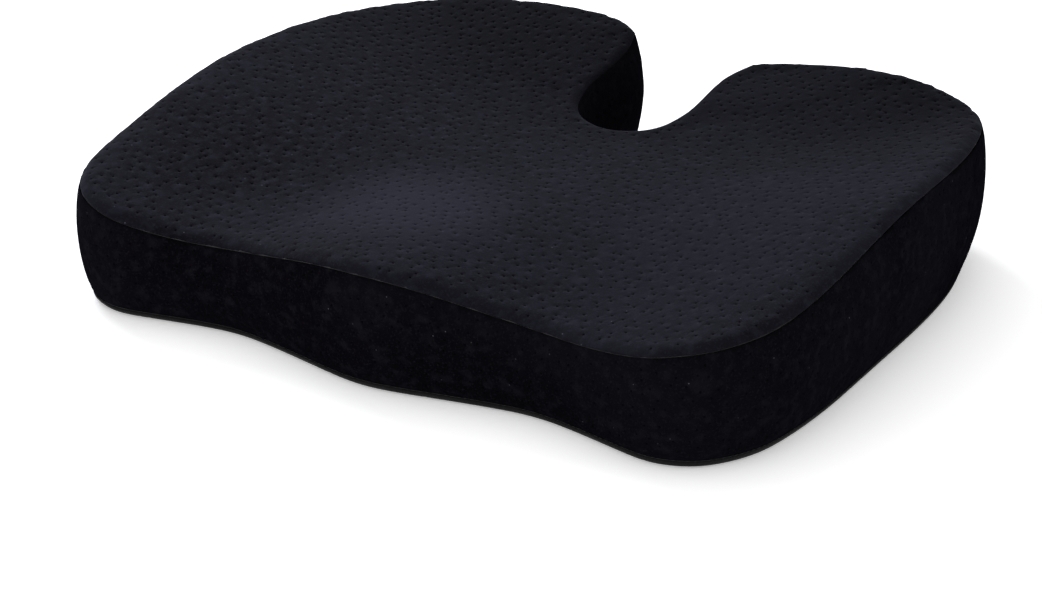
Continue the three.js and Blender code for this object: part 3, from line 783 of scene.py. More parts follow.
def blend_colours(tree, share, first, second):
    """The first colour with a share of the second mixed in. Each is a colour or a socket."""
    made = add_node(tree, "ShaderNodeMix", {"Factor": share}, data_type="RGBA")
    for socket, value in ((made.inputs[6], first), (made.inputs[7], second)):
        if isinstance(value, bpy.types.NodeSocket):
            tree.links.new(value, socket)
        else:
            socket.default_value = value
    return made.outputs[2]


LINT = "#4a4b55"
# Painted shade: the colour that the cloth darkens to towards the back.
BACK_SHADE_COLOUR = "#020203"
# Painted shade: the colour that the needle holes darken to.
HOLE_SHADE_COLOUR = "#010102"
SHEEN_TINT = "#6f7288"
BACK_SHADE_START, BACK_SHADE_END = -0.02, 0.17  # painted shade darkens the cloth from here on back to there


def velour(name, pile, stroked, tips, sheen, specular, back_shade, hole_shade, painted_patches=()):
    """Short black pile.

    Pile, stroked and tips are the colours of the cloth, of stroked places and of the fibre tips. The last
    three
    arguments paint light and shade: how far painted shade darkens the cloth towards the back, how dark the
    painted shade in its needle holes is, and patches of painted highlight and painted shade, each a place, a
    radius, a colour and a strength.
    is a place, a radius, a colour and a strength.
    """
    material, tree = new_material(name)
    place = add_node(tree, "ShaderNodeTexCoord").outputs["Object"]
    stroke = noise(tree, place, 9.0, 3.0, Distortion=0.6)
    mottle = noise(tree, place, 160.0, 3.0)
    fibre = noise(tree, place, 900.0, 2.0)
    lint = add_node(tree, "ShaderNodeTexVoronoi", {"Vector": place, "Scale": 210.0, "Randomness": 1.0})
    pit = add_node(tree, "ShaderNodeAttribute", attribute_name="pit").outputs["Fac"]

    base = blend_colours(tree, ramp(tree, stroke, 0.38, 0.66), colour(pile), colour(stroked))
    # Soft patches of painted highlight and painted shade, where the seat's relief catches or loses the light.
    for centre, radius, shade, share in painted_patches:
        away = add_node(tree, "ShaderNodeVectorMath", {0: place, 1: centre}, operation="DISTANCE")
        patch = ramp(tree, away.outputs["Value"], 0.1 * radius, radius, share, 0.0)
        base = blend_colours(tree, patch, base, colour(shade))
    base = blend_colours(tree, ramp(tree, mottle, 0.45, 0.75, 0.0, 0.55), base, colour(tips))
    base = blend_colours(tree, ramp(tree, fibre, 0.52, 0.78, 0.0, 0.8), base, colour(tips))
    speck = ramp(tree, lint.outputs["Distance"], 0.035, 0.09, 1.0, 0.0)
    rare = ramp(tree, mottle, 0.57, 0.62)
    base = blend_colours(tree, worked_out(tree, "MULTIPLY", speck, rare), base, colour(LINT))
    level = add_node(tree, "ShaderNodeSeparateXYZ", {"Vector": place}).outputs["Y"]
    # Painted shade that darkens the cloth towards the back.
    base = blend_colours(tree, ramp(tree, level, BACK_SHADE_START, BACK_SHADE_END, 0.0, back_shade), base, colour(BACK_SHADE_COLOUR))
    # Painted shade in the needle holes.
    base = blend_colours(tree, ramp(tree, pit, 0.15, 0.8, 0.0, hole_shade), base, colour(HOLE_SHADE_COLOUR))

    height = worked_out(tree, "ADD", fibre, mottle)
    bump = add_node(tree, "ShaderNodeBump", {"Height": height, "Strength": 0.45, "Distance": 0.5 * MM})
    finish_material(
        tree,
        {
            "Base Color": base,
            "Roughness": 0.95,
            "Specular IOR Level": specular,
            "Sheen Weight": sheen,
            "Sheen Roughness": 0.5,
            "Sheen Tint": colour(SHEEN_TINT),
            "Normal": bump.outputs["Normal"],
        },
    )
    return material


# Painted highlight on the pommel's left flank and the right side of the seat, painted shade on the left front
# corner and the left lobe. Each is a place, a radius, a colour and a strength.
PAINTED_PATCHES = (
    ((-0.025, -0.09, 0.065), 0.08, "#25252f", 0.6),
    ((0.12, -0.03, 0.065), 0.12, "#191921", 0.35),
    ((-0.155, -0.1, 0.07), 0.075, "#08080b", 0.7),
    ((-0.12, 0.12, 0.085), 0.12, "#08080b", 0.5),
)
top_velour = velour(
    "velour_stroked_up",
    pile="#0b0b0f",
    stroked="#121218",
    tips="#1e1e27",
    sheen=0.1,
    specular=0.03,
    back_shade=0.8,
    hole_shade=0.65,
    painted_patches=PAINTED_PATCHES,
)
# The bands take a darker copy of the top's velour: painted shade for sides that face away from the light
# above.
side_velour = velour(
    "velour_stroked_down",
    pile="#070609",
    stroked="#0c0b0f",
    tips="#16151a",
    sheen=0.014,
    specular=0.0,
    back_shade=0.5,
    hole_shade=0.4,
)
top_panel.data.materials.append(top_velour)
side_band.data.materials.append(side_velour)
notch_band.data.materials.append(side_velour)
print("velours:", top_velour.name, side_velour.name)

# %% [markdown]
# ## The underside
#
# Two panels of knitted fabric close the underside, one in front of the zip and one behind it. They are sewn
# to the bands a little above the floor, wrap round the edge and lie flat. Along the zip each panel is folded
# under into a hem, and the two hems rise into a shallow valley that keeps the zip off the chair.

# %% Making the bottom panels
SEAM_GAP = 0.75 * MM  # from a seam's line to the edge of the cloth on either side
WRAP = {"reach": 4.0 * MM, "flat": 0.4 * MM, "seam": 3.3 * MM, "bend": 3.4}
VALLEY = {"lip": 10.2 * MM, "foot": 14.2 * MM, "lift": 4.65 * MM, "fade": 7 * MM}
HEM_GAP = {"closed": 0.85 * MM, "open": 6.9 * MM, "ease": 5.5 * MM}
HEM_ROWS = np.array([1.6, 3.0]) * MM  # rows of points, by the distance from the hem
VALLEY_ROWS = np.arange(10.4, 15.5, 0.8) * MM  # by the distance from the zip
RIM_ROWS = np.array([0.8, 1.7, 2.8, 4.2]) * MM  # by the distance from the rim
ROW_CLEARANCE = 0.6 * MM
HEM_MESH = 2 * MM
RIM_OUT = 0.3 * MM  # from the seam's line to the rim
TAPE_COVERED = 0.8 * MM  # the tapes end this far under the cloth
CORNER_ROOM = 1.2 * MM
LOW = 6 * MM  # the bottom edge of a band lies below this height

zip_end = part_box("zip_tape_front")[1][0] - TAPE_COVERED
zip_y = (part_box("zip_tape_front")[1][1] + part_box("zip_tape_rear")[0][1]) / 2


def eased(value, low, high):
    """How far a value is from low to high, with a soft start and a soft end."""
    share = np.clip((value - low) / (high - low), 0, 1)
    return share * share * (3 - 2 * share)


def low_run(loop):
    """The part of a band's edge that runs along the bottom seam."""
    low = loop[:, 2] < LOW
    first = next(i for i in range(len(loop)) if low[i] and not low[i - 1])
    turned = np.roll(loop, -first, axis=0)
    return turned[: int(low.sum())]


def sideways(line):
    """The level direction to the left of a closed line at each of its points."""
    along = np.roll(line, -1, axis=0) - np.roll(line, 1, axis=0)
    return unit(np.column_stack([-along[:, 1], along[:, 0], np.zeros(len(line))]))


def hem_line(x):
    """Half the opening between the two panels along the zip."""
    share = 1 - eased(np.abs(x), zip_end, zip_end + HEM_GAP["ease"])
    return HEM_GAP["closed"] + (HEM_GAP["open"] - HEM_GAP["closed"]) * share


def on_underside(points):
    """Points of a bottom panel's pattern, laid under the cushion."""
    share = 1 - np.clip(distance_in_plan(points, fine_bottom_rim) / WRAP["reach"], 0, 1)
    wrap = (WRAP["seam"] - WRAP["flat"]) * share ** WRAP["bend"]
    valley = 1 - eased(np.abs(points[:, 1] - zip_y), VALLEY["lip"], VALLEY["foot"])
    valley *= 1 - eased(np.abs(points[:, 0]), zip_end, zip_end + VALLEY["fade"])
    return np.column_stack([points, WRAP["flat"] + np.maximum(wrap, valley * VALLEY["lift"])])


def make_bottom_panel(name, side):
    """The panel in front of the zip, side -1, or behind it, side 1."""
    rim = bottom_rim[:, :2]
    kept = side * (rim[:, 1] - zip_y) > HEM_GAP["closed"] + CORNER_ROOM
    first = next(i for i in range(len(rim)) if kept[i] and not kept[i - 1])
    run = np.roll(rim, -first, axis=0)[: int(kept.sum())]
    x = np.linspace(run[-1, 0], run[0, 0], round(abs(run[-1, 0] - run[0, 0]) / HEM_MESH))
    outline = np.vstack([run, np.column_stack([x, zip_y + side * hem_line(x)])])
    rows = [np.column_stack([x, zip_y + side * (hem_line(x) + row)]) for row in HEM_ROWS]
    rows += [np.column_stack([x, np.full(len(x), zip_y + side * row)]) for row in VALLEY_ROWS]
    rows += [(bottom_rim + sideways(bottom_rim) * row)[:, :2] for row in RIM_ROWS]
    folds = np.vstack(rows)
    folds = folds[inside(folds, outline)]
    folds = kept_clear(folds, evenly(outline, FINE, True), ROW_CLEARANCE)
    return make_panel(name, outline, on_underside, folds=folds)


low_runs = np.vstack([low_run(edges["side_band"]), low_run(edges["notch_band"])])
bottom_seam = evenly(b_spline(low_runs, SPLINE_STEPS, True), 1 * MM, True) - np.array([0, 0, SEAM_GAP])
bottom_rim = evenly(bottom_seam + sideways(bottom_seam) * RIM_OUT, EDGE_MESH, True)
fine_bottom_rim = evenly(bottom_rim, FINE, True)
bottom_front = make_bottom_panel("cover_bottom_front", -1)
bottom_rear = make_bottom_panel("cover_bottom_rear", 1)
bottom_length = float(np.linalg.norm(np.diff(bottom_seam, axis=0), axis=1).sum())
print("the bottom seam is", round(bottom_length, 3), "m long")

# %% [markdown]
# ## What repeats
#
# Stitches, grip dots and the zip's coil are each one small shape laid at many places. One node tree does all
# of them: it puts the shape on every point of a carrier mesh, turned as the point says, with a little spread
# of size and turn drawn from a fixed seed.


# %% The tree that repeats a shape
def named_input(tree, name, kind, default=None):
    """A new input of a node tree, as the identifier by which a modifier sets it."""
    socket = tree.interface.new_socket(name, in_out="INPUT", socket_type=kind)
    if default is not None:
        socket.default_value = default
    return socket.identifier


repeat_tree = bpy.data.node_groups.new("repeat_a_shape", "GeometryNodeTree")
INPUTS = {
    "Places": named_input(repeat_tree, "Places", "NodeSocketGeometry"),
    "Shape": named_input(repeat_tree, "Shape", "NodeSocketObject"),
    "Finish": named_input(repeat_tree, "Finish", "NodeSocketMaterial"),
    "Size spread": named_input(repeat_tree, "Size spread", "NodeSocketFloat", 0.04),
    "Turn spread": named_input(repeat_tree, "Turn spread", "NodeSocketFloat", 0.05),
    "Seed": named_input(repeat_tree, "Seed", "NodeSocketInt", 1),
}
repeat_tree.interface.new_socket("Geometry", in_out="OUTPUT", socket_type="NodeSocketGeometry")
given = add_node(repeat_tree, "NodeGroupInput").outputs
shape = add_node(repeat_tree, "GeometryNodeObjectInfo", {"Object": given["Shape"]})
facing = add_node(
    repeat_tree,
    "GeometryNodeInputNamedAttribute",
    {"Name": "facing"},
    data_type="FLOAT_VECTOR",
)
turned = add_node(repeat_tree, "FunctionNodeEulerToRotation", {"Euler": facing.outputs["Attribute"]})
least_size = worked_out(repeat_tree, "SUBTRACT", 1.0, given["Size spread"])
most_size = worked_out(repeat_tree, "ADD", 1.0, given["Size spread"])
least_turn = worked_out(repeat_tree, "SUBTRACT", 0.0, given["Turn spread"])
other_seed = worked_out(repeat_tree, "ADD", given["Seed"], 100.0)
sizes = add_node(
    repeat_tree,
    "FunctionNodeRandomValue",
    {"Min": least_size, "Max": most_size, "Seed": given["Seed"]},
    data_type="FLOAT_VECTOR",
)
turns = add_node(
    repeat_tree,
    "FunctionNodeRandomValue",
    {"Min": least_turn, "Max": given["Turn spread"], "Seed": other_seed},
    data_type="FLOAT_VECTOR",
)
copies = add_node(
    repeat_tree,
    "GeometryNodeInstanceOnPoints",
    {
        "Points": given["Places"],
        "Instance": shape.outputs["Geometry"],
        "Rotation": turned.outputs["Rotation"],
        "Scale": sizes.outputs["Value"],
    },
)
loosened = add_node(
    repeat_tree,
    "GeometryNodeRotateInstances",
    {"Instances": copies.outputs["Instances"], "Rotation": turns.outputs["Value"]},
)
real = add_node(repeat_tree, "GeometryNodeRealizeInstances", {"Geometry": loosened.outputs["Instances"]})
painted = add_node(
    repeat_tree,
    "GeometryNodeSetMaterial",
    {"Geometry": real.outputs["Geometry"], "Material": given["Finish"]},
)
add_node(repeat_tree, "NodeGroupOutput", {"Geometry": painted.outputs["Geometry"]})
print("the repeating tree has", len(repeat_tree.nodes), "nodes")


# %% Small shapes and where they go
def closed_tube(rings):
    """A mesh through rings of points, with its first and last ring filled."""
    count = len(rings[0])
    points = np.vstack(rings)
    faces = [list(range(count))[::-1], [len(points) - count + k for k in range(count)]]
    for first in range(0, len(points) - count, count):
        for k in range(count):
            ahead = (k + 1) % count
            faces.append([first + k, first + ahead, first + count + ahead, first + count + k])
    mesh = bpy.data.meshes.new("shape")
    mesh.from_pydata(points, [], faces)
    return mesh


def ring_tube(line, radius, sides, up):
    """A closed tube round a closed line. Up gives the section a steady way round."""
    along = unit(np.roll(line, -1, axis=0) - np.roll(line, 1, axis=0))
    side = unit(np.cross(along, up))
    over = np.cross(side, along)
    thick = np.broadcast_to(radius, len(line))[:, None]
    angles = np.arange(sides) * 2 * math.pi / sides
    points = np.vstack([line + thick * (math.cos(a) * side + math.sin(a) * over) for a in angles])
    count = len(line)
    faces = []
    for k in range(sides):
        for i in range(count):
            ahead, beside = (i + 1) % count, (k + 1) % sides
            faces.append([k * count + i, k * count + ahead, beside * count + ahead, beside * count + i])
    mesh = bpy.data.meshes.new("ring")
    mesh.from_pydata(points, [], faces)
    return mesh


def smoothed(mesh):
    """The same mesh with its faces turned outwards and shaded smooth."""
    bm = bmesh.new()
    bm.from_mesh(mesh)
    bmesh.ops.recalc_face_normals(bm, faces=bm.faces[:])
    bm.to_mesh(mesh)
    bm.free()
    shade_smooth(mesh)
    return mesh


def round_rings(profile, sides, arch=0.0):
    """Rings along X from pairs of place and radius; arch lowers a ring by the square of its place."""
    angles = np.arange(sides) * 2 * math.pi / sides
    return [
        np.column_stack([np.full(sides, x), r * np.cos(angles), r * np.sin(angles) - arch * x * x])
        for x, r in profile
    ]


def repeated(name, mesh, places, facings, finish, size_spread, turn_spread, seed):
    """A shape on every place, as one piece, with a small random spread of size and turn."""
    pattern = add_object(name + "_shape", smoothed(mesh))
    carrier = bpy.data.meshes.new(name)
    carrier.from_pydata(places, [], [])
    carrier.attributes.new("facing", "FLOAT_VECTOR", "POINT").data.foreach_set("vector", np.ravel(facings))
    made = add_object(name, carrier)
    modifier = made.modifiers.new("repeat", "NODES")
    modifier.node_group = repeat_tree
    modifier[INPUTS["Shape"]] = pattern
    modifier[INPUTS["Finish"]] = finish
    modifier[INPUTS["Size spread"]] = size_spread
    modifier[INPUTS["Turn spread"]] = turn_spread
    modifier[INPUTS["Seed"]] = seed
    applied(made)
    bpy.data.objects.remove(pattern)
    print(name, len(places), "copies,", len(made.data.polygons), "faces")
    return made


def facings(along, up):
    """Euler angles that turn X along a line and Z up."""
    made = []
    for a, u in zip(along, up):
        x = Vector(a).normalized()
        y = Vector(u).cross(x).normalized()
        z = x.cross(y)
        made.append(tuple(Matrix((x, y, z)).transposed().to_euler()))
    return np.array(made)


FAINT = 1e-6  # keeps a direction from counting as length
STITCH = {"length": 2.7 * MM, "pitch": 3.4 * MM, "radius": 0.27 * MM, "arch": 0.12 / MM, "sides": 6}
STITCH_SPREAD = {"size_spread": 0.06, "turn_spread": 0.05}
# A stitch's rings, by shares of its half length and of its radius.
STITCH_PROFILE = ((-1, 0.35), (-0.8, 0.85), (0, 1), (0.8, 0.85), (1, 0.35))


def stitch_mesh():
    """One stitch, arched where it dives into the cloth at either end."""
    profile = [(x * STITCH["length"] / 2, r * STITCH["radius"]) for x, r in STITCH_PROFILE]
    return closed_tube(round_rings(profile, STITCH["sides"], STITCH["arch"]))


def stitches(name, line, up, closed):
    """A row of stitches along a line. Up gives the outward side at each of the line's points."""
    both = evenly(np.hstack([line, up * FAINT]), STITCH["pitch"], closed)
    places = both[:, :3]
    if closed:
        along = np.roll(places, -1, axis=0) - np.roll(places, 1, axis=0)
    else:
        along = np.gradient(places, axis=0)
    turns = facings(along, both[:, 3:])
    return repeated(name, stitch_mesh(), places, turns, thread, seed=len(name), **STITCH_SPREAD)


print("a stitch is", STITCH["length"] / MM, "mm long")

# %% [markdown]
# ## The other finishes
#
# The bottom is a dull black knit with fine ribs. The thread and the zip tape are polyester, the coil is
# nylon monofilament, and the slider, pull and stops are black enamelled zinc, a little worn where
# fingers and the tape rub them. The foam has open cells.


# %% Mixing the other finishes
def ribs(tree, place, scale, turn):
    """Fine parallel ribs, turned by an angle about Z."""
    spun = add_node(tree, "ShaderNodeVectorRotate", {"Vector": place, "Angle": turn}, rotation_type="Z_AXIS")
    wave = add_node(
        tree,
        "ShaderNodeTexWave",
        {"Vector": spun.outputs["Vector"], "Scale": scale, "Distortion": 0.8, "Detail": 1.0},
        bands_direction="X",
    )
    return wave.outputs["Fac"]


def finish(name, dark, light, rough, relief, bump_depth, noise_scale, weave=None, specular=0.5):
    """A finish of two close colours in a fine noise, in relief.

    A weave gives the scale of its threads and the turns of its two directions, and takes the noise's place
    in the relief.
    """
    material, tree = new_material(name)
    place = add_node(tree, "ShaderNodeTexCoord").outputs["Object"]
    grain = noise(tree, place, noise_scale, 4.0)
    patches = noise(tree, place, 35.0, 2.0)
    base = blend_colours(tree, ramp(tree, grain, 0.35, 0.7), colour(dark), colour(light))
    height = grain
    if weave:
        scale, *turns = weave
        one, other = (ribs(tree, place, scale, turn) for turn in turns)
        height = worked_out(tree, "MULTIPLY", one, other)
        base = blend_colours(tree, ramp(tree, height, 0.1, 0.8, 0.0, 0.6), base, colour(light))
    dull = ramp(tree, patches, 0.3, 0.7, rough - 0.07, rough + 0.07)
    bump = add_node(tree, "ShaderNodeBump", {"Height": height, "Strength": relief, "Distance": bump_depth})
    finish_material(
        tree,
        {
            "Base Color": base,
            "Roughness": dull,
            "Specular IOR Level": specular,
            "Normal": bump.outputs["Normal"],
        },
    )
    return material


bottom_knit = finish(
    "knitted_polyester",
    dark="#050506",
    light="#0c0c0f",
    rough=0.66,
    relief=0.5,
    bump_depth=0.2 * MM,
    noise_scale=700.0,
    weave=(190.0, 0.0, math.pi / 2),
    specular=0.12,
)
grip_rubber = finish(
    "moulded_rubber",
    dark="#0a0a0b",
    light="#18181a",
    rough=0.4,
    relief=0.15,
    bump_depth=0.05 * MM,
    noise_scale=900.0,
)
thread = finish(
    "twisted_polyester_thread",
    dark="#050506",
    light="#0e0e11",
    rough=0.6,
    relief=0.5,
    bump_depth=0.1 * MM,
    noise_scale=2500.0,
)
tape_cloth = finish(
    "woven_zip_tape",
    dark="#0c0c0e",
    light="#1c1c20",
    rough=0.85,
    relief=0.6,
    bump_depth=0.12 * MM,
    noise_scale=1200.0,
    weave=(420.0, 0.8, 2.3),
    specular=0.25,
)
coil_nylon = finish(
    "nylon_monofilament",
    dark="#101012",
    light="#1b1b1f",
    rough=0.34,
    relief=0.08,
    bump_depth=0.03 * MM,
    noise_scale=600.0,
)
foam_cells = finish(
    "open_cell_foam",
    dark="#cfc4a4",
    light="#e8dfc6",
    rough=0.95,
    relief=0.8,
    bump_depth=0.5 * MM,
    noise_scale=1500.0,
    specular=0.1,
)


WORN = (0.63, 0.7)  # the wear noise at which the enamel starts to go and is gone


def enamel(name):
    """Black enamel on zinc, worn through in small spots."""
    material, tree = new_material(name)
    place = add_node(tree, "ShaderNodeTexCoord").outputs["Object"]
    wear = noise(tree, place, 420.0, 6.0)
    smudge = noise(tree, place, 90.0, 3.0)
    base = blend_colours(tree, ramp(tree, wear, *WORN), colour("#0d0d0f"), colour("#8b8b8e"))
    bump = add_node(tree, "ShaderNodeBump", {"Height": wear, "Strength": 0.1, "Distance": 0.05 * MM})
    finish_material(
        tree,
        {
            "Base Color": base,
            "Metallic": ramp(tree, wear, *WORN, 0.35, 1.0),
            "Roughness": ramp(tree, smudge, 0.3, 0.7, 0.24, 0.4),
            "Normal": bump.outputs["Normal"],
        },
    )
    return material


zip_enamel = enamel("black_enamelled_zinc")
print("finishes:", sorted(m.name for m in bpy.data.materials))

# %% [markdown]
# ## Seams
#
# The thread lies in the valley where two panels meet. Inside the cover, under each seam, the two edges that
# were sewn together are folded back and make a cord that can just be felt.


# %% Sewing the seams
SEAM_DEPTH = 0.55 * MM  # the stitches' depth in the valley
SEAM_LEAN = {"top": 0.8, "bottom": -0.6}  # how far a seam faces up, against one outwards
BOTTOM_THREAD_LIFT = 0.2 * MM
RIM_MESH = 0.4 * MM
CORD = {"radius": 1.0 * MM, "depth": 1.35 * MM, "sides": 6, "ripple": 0.06, "beat": 1.9}
UPRIGHT = {"reach": 1.6 * MM, "wider": 1.6, "deeper": 1.9, "sides": 8, "every": 8}
LOBE_HEART = (0.1, 0.11)  # the middle of the right lobe, seen from above


def leaning_out(line, rise):
    """The directions in which a seam faces, out of the cushion and a little up or down."""
    return unit(np.array([0, 0, rise]) - sideways(line))


def seam_fold(name, mesh):
    """A folded seam allowance inside the cover."""
    fold = add_object(name, smoothed(mesh))
    fold.data.materials.append(thread)
    return fold


side_rim, notch_rim = (
    evenly(b_spline(edges[node], SPLINE_STEPS, True), RIM_MESH, True) for node in ("side_band", "notch_band")
)
top_line = (top_edge + nearest_points(top_edge, np.vstack([side_rim, notch_rim]))) / 2
low_line = evenly(bottom_seam, EDGE_MESH, True) + np.array([0, 0, BOTTOM_THREAD_LIFT])
lines = {
    "top": (top_line, leaning_out(top_line, SEAM_LEAN["top"])),
    "bottom": (low_line, leaning_out(low_line, SEAM_LEAN["bottom"])),
}
seams = {
    word: stitches(f"stitches_{word}_seam", line - out * SEAM_DEPTH, out, True)
    for word, (line, out) in lines.items()
}
folds = []
for word, (line, out) in lines.items():
    thick = CORD["radius"] * (1 + CORD["ripple"] * np.sin(np.arange(len(line)) * CORD["beat"]))
    tube = ring_tube(line - out * CORD["depth"], thick, CORD["sides"], out)
    folds.append(seam_fold("seam_fold_" + word, tube))

# The two upright seams, where a side band's end meets the notch band's.
partners = nearest_points(side_rim, notch_rim)
meeting = ((side_rim + partners) / 2)[np.linalg.norm(side_rim - partners, axis=1) < UPRIGHT["reach"]]
angles = np.arange(UPRIGHT["sides"]) * 2 * math.pi / UPRIGHT["sides"]
circle = np.column_stack([np.cos(angles), np.sin(angles), np.zeros(len(angles))])
circle *= UPRIGHT["wider"] * CORD["radius"]
for word, side in (("left", -1), ("right", 1)):
    column = meeting[side * meeting[:, 0] > 0]
    column = column[np.argsort(column[:, 2])][:: UPRIGHT["every"]]
    inwards = unit((np.array([side * LOBE_HEART[0], LOBE_HEART[1], 0]) - column) * np.array([1, 1, 0]))
    heart_line = column + inwards * UPRIGHT["deeper"] * CORD["depth"]
    folds.append(seam_fold("seam_fold_" + word, closed_tube([p + circle for p in heart_line])))

ZIP_SIDES = (("front", -1), ("rear", 1))
HEM_STITCH = {"across": 8.2 * MM, "height": 4.8 * MM, "end": 184 * MM}
down = np.array([0.0, 0.0, -1.0])
hem_stitches = {}
for word, side in ZIP_SIDES:
    x = np.array([-HEM_STITCH["end"], HEM_STITCH["end"]])
    y = zip_y + side * HEM_STITCH["across"]
    row = np.column_stack([x, np.full(2, y), np.full(2, HEM_STITCH["height"])])
    hem_stitches[word] = stitches("stitches_hem_" + word, row, np.tile(down, (2, 1)), False)
print("seam stitches:", sum(len(seam.data.polygons) for seam in seams.values()), "faces")

# %% [markdown]
# ## Grip dots
#
# Small rubber domes on the underside keep the cushion from sliding. They stand on the flat part only, so
# their tops are what the cushion rests on.

# %% Moulding the grip dots
DOT = {"radius": 1.2 * MM, "height": 0.42 * MM, "spacing": 8 * MM, "rim": 7 * MM, "zip": 17 * MM, "sides": 8}
# The dome's rings by their height and their share of the radius; the lowest one stands in the cloth.
DOME = ((-0.04 * MM, 1.0), (0.5 * DOT["height"], 0.86), (DOT["height"] - 0.02 * MM, 0.4))

dots = lattice(bottom_rim.min(0)[:2], bottom_rim.max(0)[:2], DOT["spacing"])
dots = dots[inside(dots, bottom_rim[:, :2])]
dots = kept_clear(dots, bottom_rim, DOT["rim"])
dots = dots[(np.abs(dots[:, 1] - zip_y) > DOT["zip"]) | (np.abs(dots[:, 0]) > zip_end + DOT["zip"])]
dots = dots[np.abs(dots[:, 1] - zip_y) > 2 * DOT["radius"]]
dome_rings = round_rings([(x, share * DOT["radius"]) for x, share in DOME], DOT["sides"])
dome = closed_tube([ring[:, [1, 2, 0]] * np.array([1, 1, -1]) for ring in dome_rings])
dot_places = np.column_stack([dots, np.full(len(dots), WRAP["flat"])])
unturned = np.zeros((len(dots), 3))
alike = {"size_spread": 0.0, "turn_spread": 0.0, "seed": 3}
grip_dots = repeated("grip_dots", dome, dot_places, unturned, grip_rubber, **alike)

# %% [markdown]
# ## The zip
#
# The coil is a row of leaning loops on each tape, half a pitch apart so that they interlock. A strip of cloth
# behind it lines the foam's channel. The slider, pull, stops, tapes and end tabs keep the CAD model's shape,
# and a bevel breaks their edges.

# %% Winding the coil and finishing the metal
COIL = {"pitch": 1.3 * MM, "filament": 0.3 * MM, "lean": 0.32 * MM, "inner": 0.45 * MM, "outer": 3.2 * MM}
COIL_POINTS = 14
COIL_SIDES = 5
COIL_SPREAD = {"size_spread": 0.01, "turn_spread": 0.01, "seed": 5}
COIL_TAPER = 0.12  # how much thicker a loop is at one end than in its middle

coil_low, coil_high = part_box("zip_coil_front")
half_high = (coil_high[2] - coil_low[2]) / 2 - COIL["filament"]
half_wide = (COIL["outer"] - COIL["inner"]) / 2 - COIL["filament"]
straight = half_wide - half_high


def coil_loop():
    """One loop of the coil across the tape, a little thicker at one end than at the other."""
    angles = np.arange(COIL_POINTS) * 2 * math.pi / COIL_POINTS
    y = half_high * np.cos(angles) + np.sign(np.cos(angles)) * straight
    z = half_high * np.sin(angles)
    line = np.column_stack([COIL["lean"] * np.sin(angles), y, z])
    thick = COIL["filament"] * (1 - COIL_TAPER * np.cos(angles))
    return ring_tube(line, thick, COIL_SIDES, np.tile([1.0, 0.0, 0.0], (len(line), 1)))


coils = {}
coil_end = coil_high[0] - COIL["pitch"]
for word, side in ZIP_SIDES:
    x = np.arange(-coil_end, coil_end, COIL["pitch"]) + (COIL["pitch"] / 2 if side > 0 else 0)
    y = zip_y + side * (COIL["inner"] + COIL["outer"]) / 2
    places = np.column_stack([x, np.full(len(x), y), np.full(len(x), (coil_low[2] + coil_high[2]) / 2)])
    turn = np.tile([0.0, 0.0, 0.0 if side > 0 else math.pi], (len(x), 1))
    name = "zip_coil_loops_" + word
    coils[word] = repeated(name, coil_loop(), places, turn, coil_nylon, **COIL_SPREAD)

LINING = {"half_width": 11.5 * MM, "thickness": 0.5 * MM, "gap": 0.3 * MM, "low": 3.4 * MM, "bend": 2.5 * MM}
LINING_SECTION = ((-1, 0), (-0.98, 1), (0.98, 1), (1, 0))  # shares of half width and thickness
IN_CHANNEL = np.array([0, zip_y, 8 * MM])  # a place in the foam's channel over the zip


def channel_room(direction):
    """How far the lining may go from the channel's middle towards the foam."""
    reach = foam_tree.ray_cast(Vector(IN_CHANNEL), Vector(direction))[3]
    return reach - LINING["gap"] - LINING["thickness"]


channel_end = channel_room((1, 0, 0))
channel_top = IN_CHANNEL[2] + channel_room((0, 0, 1))
quarter = np.linspace(0, math.pi / 2, 5)
bend_x = channel_end - LINING["bend"] * (1 - np.sin(quarter[::-1]))
bend_z = channel_top - LINING["bend"] * (1 - np.sin(quarter))
path = [(channel_end, LINING["low"]), *zip(bend_x, bend_z)]
path += [(x, channel_top) for x in np.linspace(path[-1][0], 0, 12)[1:]]
path = np.array(path + [(-x, z) for x, z in path[-2::-1]])
lining_rings = []
for (x, z), (dx, dz) in zip(path, unit(np.gradient(path, axis=0))):
    ring = []
    for across, over in LINING_SECTION:
        thick = over * LINING["thickness"]
        ring.append((x + dz * thick, zip_y + across * LINING["half_width"], z - dx * thick))
    lining_rings.append(np.array(ring))
lining = add_object("zip_lining", smoothed(closed_tube(lining_rings)))
lining.data.materials.append(bottom_knit)
print("the lining ends at", round(channel_end / MM, 1), "mm and lies", round(channel_top / MM, 1), "mm up")

METAL_NODES = ("zip_slider", "zip_pull", "zip_bottom_stop", "zip_top_stop_front", "zip_top_stop_rear")
TAPE_NODES = ("zip_tape_front", "zip_tape_rear", "zip_end_tab_left", "zip_end_tab_right")
METAL_EDGE = 0.32 * MM
TAPE_EDGE = 0.12 * MM


def round_edges(thing, width, segments, least_angle):
    """Rounds each edge where two faces meet at more than an angle."""
    edge = thing.modifiers.new("round_edge", "BEVEL")
    edge.width = width
    edge.segments = segments
    edge.limit_method = "ANGLE"
    edge.angle_limit = math.radians(least_angle)


for nodes, edge_width, look in ((METAL_NODES, METAL_EDGE, zip_enamel), (TAPE_NODES, TAPE_EDGE, tape_cloth)):
    for node in nodes:
        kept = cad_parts[node]
        kept.data.materials.clear()
        kept.data.materials.append(look)
        round_edges(kept, edge_width, 3, 30)
print("the zip's coil has", sum(len(c.data.polygons) for c in coils.values()), "faces")

# %% [markdown]
# ## The foam
#
# The foam block is hidden while the zip is closed. It is the CAD model's block with its cut edges rounded.

# %% Rounding the foam
FOAM_ROUND = 1.5 * MM

